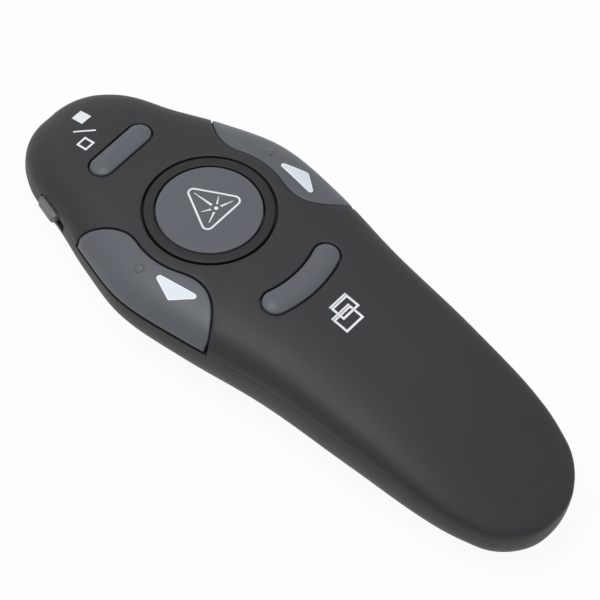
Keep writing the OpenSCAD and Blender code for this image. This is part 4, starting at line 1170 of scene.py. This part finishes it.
def growHardware():
    pattern = screwPattern()
    for kind in screwSets:
        # no longer than the lowest roof over them allows
        places, seat = kind["places"], kind["seat"]
        headR, headH, shankR, length = kind["sizes"]
        room = min(placingRoof(x, y, form["wall"]) for x, y in places) - roofClear - seat
        screw = oneScrew(headR, headH, shankR, min(length, room))
        thing = pattern.grow(kind["node"] + "_grown", [(x, y, seat) for x, y in places],
                             {"Screw": screw, "Most turn": math.pi / 2, "Seed": kind["seed"],
                              "Material": finishes["screwSteel"]})
        bpy.data.objects.remove(screw)
        standsFor(thing, kind["node"], "steel", "case")
    spring = springPattern()
    coils = [spring.grow("spring", [(0, 0, 0)], {**springSizes, "Place": place, "Turn": turn,
                                                 "Material": finishes["platedSteel"]}, 60)
             for place, turn in springPlaces]
    both = joinPieces("contact_springs_grown", coils)
    dress(both, finishes["platedSteel"], 60)
    standsFor(both, "contact_springs", "steel", "case")


def joinPieces(name, parts):
    mesh = bpy.data.meshes.new(name)
    bm = bmesh.new()
    for part in parts:
        bm.from_mesh(part.data)
    bm.to_mesh(mesh)
    bm.free()
    for part in parts:
        bpy.data.objects.remove(part)
    thing = bpy.data.objects.new(name, mesh)
    bpy.context.scene.collection.objects.link(thing)
    return thing


growHardware()
print("stage: screws and springs")

# Printed icons, laid on the skin as thin ink
ink = {"lift": 0.03, "depth": 0.25, "grain": 0.4, "fill": 0.5, "clear": 0.5, "sharperThan": 30}


def inkPiece(name, outlines, material, body):
    # each outline is a closed plan polygon, or a pair of an outer and an inner one
    points, faces = [], []
    for outline in outlines:
        outer, inner = outline if isinstance(outline, tuple) else (outline, None)
        count = len(outer)
        base = len(points)
        if inner:
            line = outer + inner
            cells = [[i, (i + 1) % count, count + (i + 1) % count, count + i] for i in range(count)]
            edges = [(i, (i + 1) % count) for i in range(count)]
            edges += [(count + j, count + i) for i, j in edges]
        else:
            line, cells, edges = filled(outer)
        under = base + len(line)
        points.extend([(x, y, roofZ(x, y) + ink["lift"]) for x, y in line])
        points.extend([(x, y, roofZ(x, y) + ink["lift"] - ink["depth"]) for x, y in line])
        faces += [[base + i for i in cell] for cell in cells]
        faces += [[under + i for i in reversed(cell)] for cell in cells]
        faces += [[base + j, base + i, under + i, under + j] for i, j in edges]
    piece = meshPiece(name, points, faces, material, ink["sharperThan"])
    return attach(piece, body)


def filled(outer):
    # fills an outline with even points, so that the ink follows the skin all over
    spots, cells = evenFill([Vector(p) for p in outer], ink["fill"], ink["clear"])
    seen = {(a, b): True for cell in cells for a, b in zip(cell, cell[1:] + cell[:1])}
    edges = [(a, b) for a, b in seen if (b, a) not in seen]
    return [p.to_tuple() for p in spots], cells, edges


def dense(corners):
    # adds points along the sides, so that the ink follows the skin
    line = []
    for i, a in enumerate(corners):
        b = corners[(i + 1) % len(corners)]
        n = max(1, round(math.dist(a, b) / ink["grain"]))
        line.extend([(a[0] + (b[0] - a[0]) * k / n, a[1] + (b[1] - a[1]) * k / n) for k in range(n)])
    return line


def insetBy(corners, widths):
    # the same polygon with each side moved in by its own width
    n = len(corners)
    middle = Vector((sum(p[0] for p in corners) / n, sum(p[1] for p in corners) / n))
    lines = []
    for i in range(n):
        a, b = Vector(corners[i]), Vector(corners[(i + 1) % n])
        way = (b - a).normalized()
        side = Vector((-way.y, way.x))
        if side.dot(middle - a) < 0:
            side = -side
        lines.append((a + side * widths[i % len(widths)], way))
    result = []
    for i in range(n):
        (p, d), (q, e) = lines[i - 1], lines[i]
        cross = d.x * e.y - d.y * e.x
        if abs(cross) < 1e-3:
            result.append(q.to_tuple())
        else:
            t = ((q.x - p.x) * e.y - (q.y - p.y) * e.x) / cross
            result.append((p + d * t).to_tuple())
    return result


def frameOf(corners, widths):
    # a closed outline and the same one drawn further in, with points along both
    inner = insetBy(corners, widths)
    n = len(corners)
    steps = [max(1, round(math.dist(corners[i], corners[(i + 1) % n]) / ink["grain"])) for i in range(n)]

    def along(shape):
        return [(shape[i][0] + (shape[(i + 1) % n][0] - shape[i][0]) * k / steps[i],
                 shape[i][1] + (shape[(i + 1) % n][1] - shape[i][1]) * k / steps[i])
                for i in range(n) for k in range(steps[i])]

    return along(corners), along(inner)


def stroke(a, b, widthA, widthB):
    d = Vector((b[0] - a[0], b[1] - a[1])).normalized()
    side = Vector((-d.y, d.x))
    return dense([(a[0] + side.x * widthA / 2, a[1] + side.y * widthA / 2),
                  (b[0] + side.x * widthB / 2, b[1] + side.y * widthB / 2),
                  (b[0] - side.x * widthB / 2, b[1] - side.y * widthB / 2),
                  (a[0] - side.x * widthA / 2, a[1] - side.y * widthA / 2)])


def roundedCorners(corners, reaches, steps=8):
    # replaces each corner with an arc that starts reach before it and ends reach after it
    line = []
    n = len(corners)
    for i, p in enumerate(corners):
        reach = reaches[i]
        c = Vector(p)
        toA, toB = (Vector(corners[i - 1]) - c).normalized(), (Vector(corners[(i + 1) % n]) - c).normalized()
        half = toA.angle(toB) / 2
        radius = reach * math.tan(half)
        centre = c + (toA + toB).normalized() * radius / math.sin(half)
        first = c + toA * reach - centre
        last = c + toB * reach - centre
        turn = math.atan2(first.x * last.y - first.y * last.x, first.dot(last))
        for k in range(steps + 1):
            a = turn * k / steps
            line.append((centre.x + first.x * math.cos(a) - first.y * math.sin(a),
                         centre.y + first.x * math.sin(a) + first.y * math.cos(a)))
    return line


icons = {
    "filledSquare": [(0.4, 55.55), (2.95, 55.5), (3.1, 58.32), (0.6, 58.36)],
    "openSquare": [(-4.33, 50.2), (-1.8, 50.2), (-1.82, 52.75), (-4.34, 52.73)],
    "openLine": 0.42,
    "slash": ((-2.13, 55.46), (0.66, 52.23)),
    "slashWidth": 0.36,
    "triangle": [(0.92, 30.13), (6.6, 19.5), (-5.1, 19.5)],
    "triangleReach": 2.1,
    "triangleLine": 0.38,
    "star": (0.94, 22.1),
    "starDot": 0.4,
    "dotCount": 20,
    "rayTip": 0.1,
    "rays": [(90, 1.1, 5.5, 0.5), (32, 1.0, 2.9, 0.4), (-20, 1.0, 3.65, 0.44), (148, 1.0, 2.95, 0.4),
             (200, 1.0, 3.65, 0.44)],
    "windows": [[(3.4, -7.73), (3.4, -11.46), (-1.14, -11.46), (-1.14, -7.73)],
                [(2.14, -9.66), (2.14, -13.66), (-2.72, -13.66), (-2.72, -9.66)]],
    "windowLine": 0.46,
    "barSplit": (0.36, 0.12, 0.4),
    "arrow": [(17.31, 21.81), (19.85, 15.33), (15.67, 10.32)],
    "arrowReach": [2.15, 0.45, 1.9],
    "arrowRim": 0.2,
}


def layIcons():
    inkPiece("nose_icons", [dense(icons["filledSquare"]), frameOf(icons["openSquare"], [icons["openLine"]]),
                            stroke(*icons["slash"], icons["slashWidth"], icons["slashWidth"])],
             finishes["iconWhite"], "case")
    outline = roundedCorners(icons["triangle"], [icons["triangleReach"]] * 3)
    shapes = [frameOf(outline, [icons["triangleLine"]])]
    cx, cy = icons["star"]
    for degrees, near, far, width in icons["rays"]:
        way = (math.cos(math.radians(degrees)), math.sin(math.radians(degrees)))
        shapes.append(stroke((cx + near * way[0], cy + near * way[1]), (cx + far * way[0], cy + far * way[1]),
                             width, icons["rayTip"]))
    shapes.append([p for p, out in circleOutline(cx, cy, icons["starDot"], icons["dotCount"])])
    inkPiece("laser_icon", shapes, finishes["iconWhite"], "laser_key")
    frames = []
    upper, split, lower = icons["barSplit"]
    line = icons["windowLine"]
    for corners in icons["windows"]:
        right, left = corners[0][0], corners[2][0]
        top, foot = corners[0][1], corners[1][1]
        bar = top - upper - split
        frames.append(dense([(right, top), (right, top - upper), (left, top - upper), (left, top)]))
        frames.append(frameOf([(right, bar), (right, foot), (left, foot), (left, bar)], [line, line, line, lower]))
    inkPiece("window_icon", frames, finishes["iconWhite"], "case")
    for name, side, body in (("next", 1, "next_key"), ("previous", -1, "previous_key")):
        corners = roundedCorners([(side * x, y) for x, y in icons["arrow"]], icons["arrowReach"])
        outer, inner = frameOf(corners, [icons["arrowRim"]])
        inkPiece(name + "_arrow_rim", [(outer, inner)], finishes["arrowRim"], body)
        inkPiece(name + "_arrow", [inner], finishes["arrowInk"], body)


layIcons()
print("stage: icons laid")

# Floor, lights and camera
view = {
    "azimuth": -57.297, "elevation": 57.893, "roll": 10.030, "distance": 0.73837,
    "target": (0.001505, 0.000494, 0.0125), "pixelsPerMm": 5.321, "frame": 600,
}
studio = {
    "floorTone": (0.9, 0.9, 0.9, 1), "floorSpan": 3000, "floorDrop": 0.02, "ownWhite": 0.94, "worldStrength": 0.24,
    "lamps": [("key", (-0.12, 0.08, 0.54), 0.36, 2.3), ("fill", (0.5, -0.35, 0.6), 0.8, 0.3),
              ("rim", (0.2, 0.7, 0.45), 0.5, 0.35)],
}


def seenDirectly(tree):
    # one for rays that show the background: from the camera, in a gloss or through glass
    path = tree.nodes.new("ShaderNodeLightPath")
    camera, glossy, through = (Wire(tree, path.outputs[label]) for label in
                               ("Is Camera Ray", "Is Glossy Ray", "Is Transmission Ray"))
    return camera.math("MAXIMUM", glossy).math("MAXIMUM", through)


def floorPaper():
    # nearly its own white where it is seen, so that only a faint shadow stays
    material = bpy.data.materials.new("studio paper")
    material.use_nodes = True
    tree = material.node_tree
    shader = next(n for n in tree.nodes if n.type == "BSDF_PRINCIPLED")
    shader.inputs["Base Color"].default_value = studio["floorTone"]
    shader.inputs["Roughness"].default_value = 0.9
    shader.inputs["Specular IOR Level"].default_value = 0.0
    glow = tree.nodes.new("ShaderNodeEmission")
    glow.inputs["Strength"].default_value = 1.0
    blend = tree.nodes.new("ShaderNodeMixShader")
    tree.links.new((seenDirectly(tree) * studio["ownWhite"]).socket, blend.inputs[0])
    tree.links.new(shader.outputs[0], blend.inputs[1])
    tree.links.new(glow.outputs[0], blend.inputs[2])
    end = next(n for n in tree.nodes if n.type == "OUTPUT_MATERIAL")
    tree.links.new(blend.outputs[0], end.inputs["Surface"])
    return material


def buildFloor():
    # a hair under the belly, so that the two flats don't flicker through each other
    span, low = studio["floorSpan"], -studio["floorDrop"]
    corners = [(-span, -span, low), (span, -span, low), (span, span, low), (-span, span, low)]
    floor = meshPiece("studio_floor", corners, [[0, 1, 2, 3]], floorPaper())


def buildLights():
    world = bpy.data.worlds.new("studio world")
    bpy.context.scene.world = world
    world.use_nodes = True
    tree = world.node_tree
    back = next(n for n in tree.nodes if n.type == "BACKGROUND")
    back.inputs["Color"].default_value = (1, 1, 1, 1)
    strength = studio["worldStrength"] + (1 - studio["worldStrength"]) * seenDirectly(tree)
    tree.links.new(strength.socket, back.inputs["Strength"])
    for name, at, size, power in studio["lamps"]:
        data = bpy.data.lights.new(name + " light", "AREA")
        data.energy = power
        data.size = size
        lamp = bpy.data.objects.new(name + " light", data)
        lamp.location = at
        lamp.rotation_mode = "QUATERNION"
        lamp.rotation_quaternion = (-Vector(at)).to_track_quat("-Z", "Y")
        bpy.context.scene.collection.objects.link(lamp)


def buildCamera():
    a, e, roll = (math.radians(view[k]) for k in ("azimuth", "elevation", "roll"))
    back = Vector((math.sin(a) * math.cos(e), -math.cos(a) * math.cos(e), math.sin(e)))
    across = Vector((math.cos(a), math.sin(a), 0))
    up = back.cross(across)
    right = across * math.cos(roll) + up * math.sin(roll)
    upward = -across * math.sin(roll) + up * math.cos(roll)
    data = bpy.data.cameras.new("photo camera")
    data.sensor_fit = "HORIZONTAL"
    data.sensor_width = 36.0
    focal = view["pixelsPerMm"] * view["distance"] * 1000 / view["frame"]
    data.lens = focal * data.sensor_width
    data.clip_start, data.clip_end = 0.05, 20
    camera = bpy.data.objects.new("photo camera", data)
    spot = Vector(view["target"]) + back * view["distance"]
    camera.matrix_world = Matrix((
        (right.x, upward.x, back.x, spot.x), (right.y, upward.y, back.y, spot.y),
        (right.z, upward.z, back.z, spot.z), (0, 0, 0, 1)))
    bpy.context.scene.collection.objects.link(camera)
    bpy.context.scene.camera = camera


buildFloor()
buildLights()
buildCamera()
bpy.context.scene.view_settings.view_transform = "Standard"
print("stage: floor, lights and camera set")
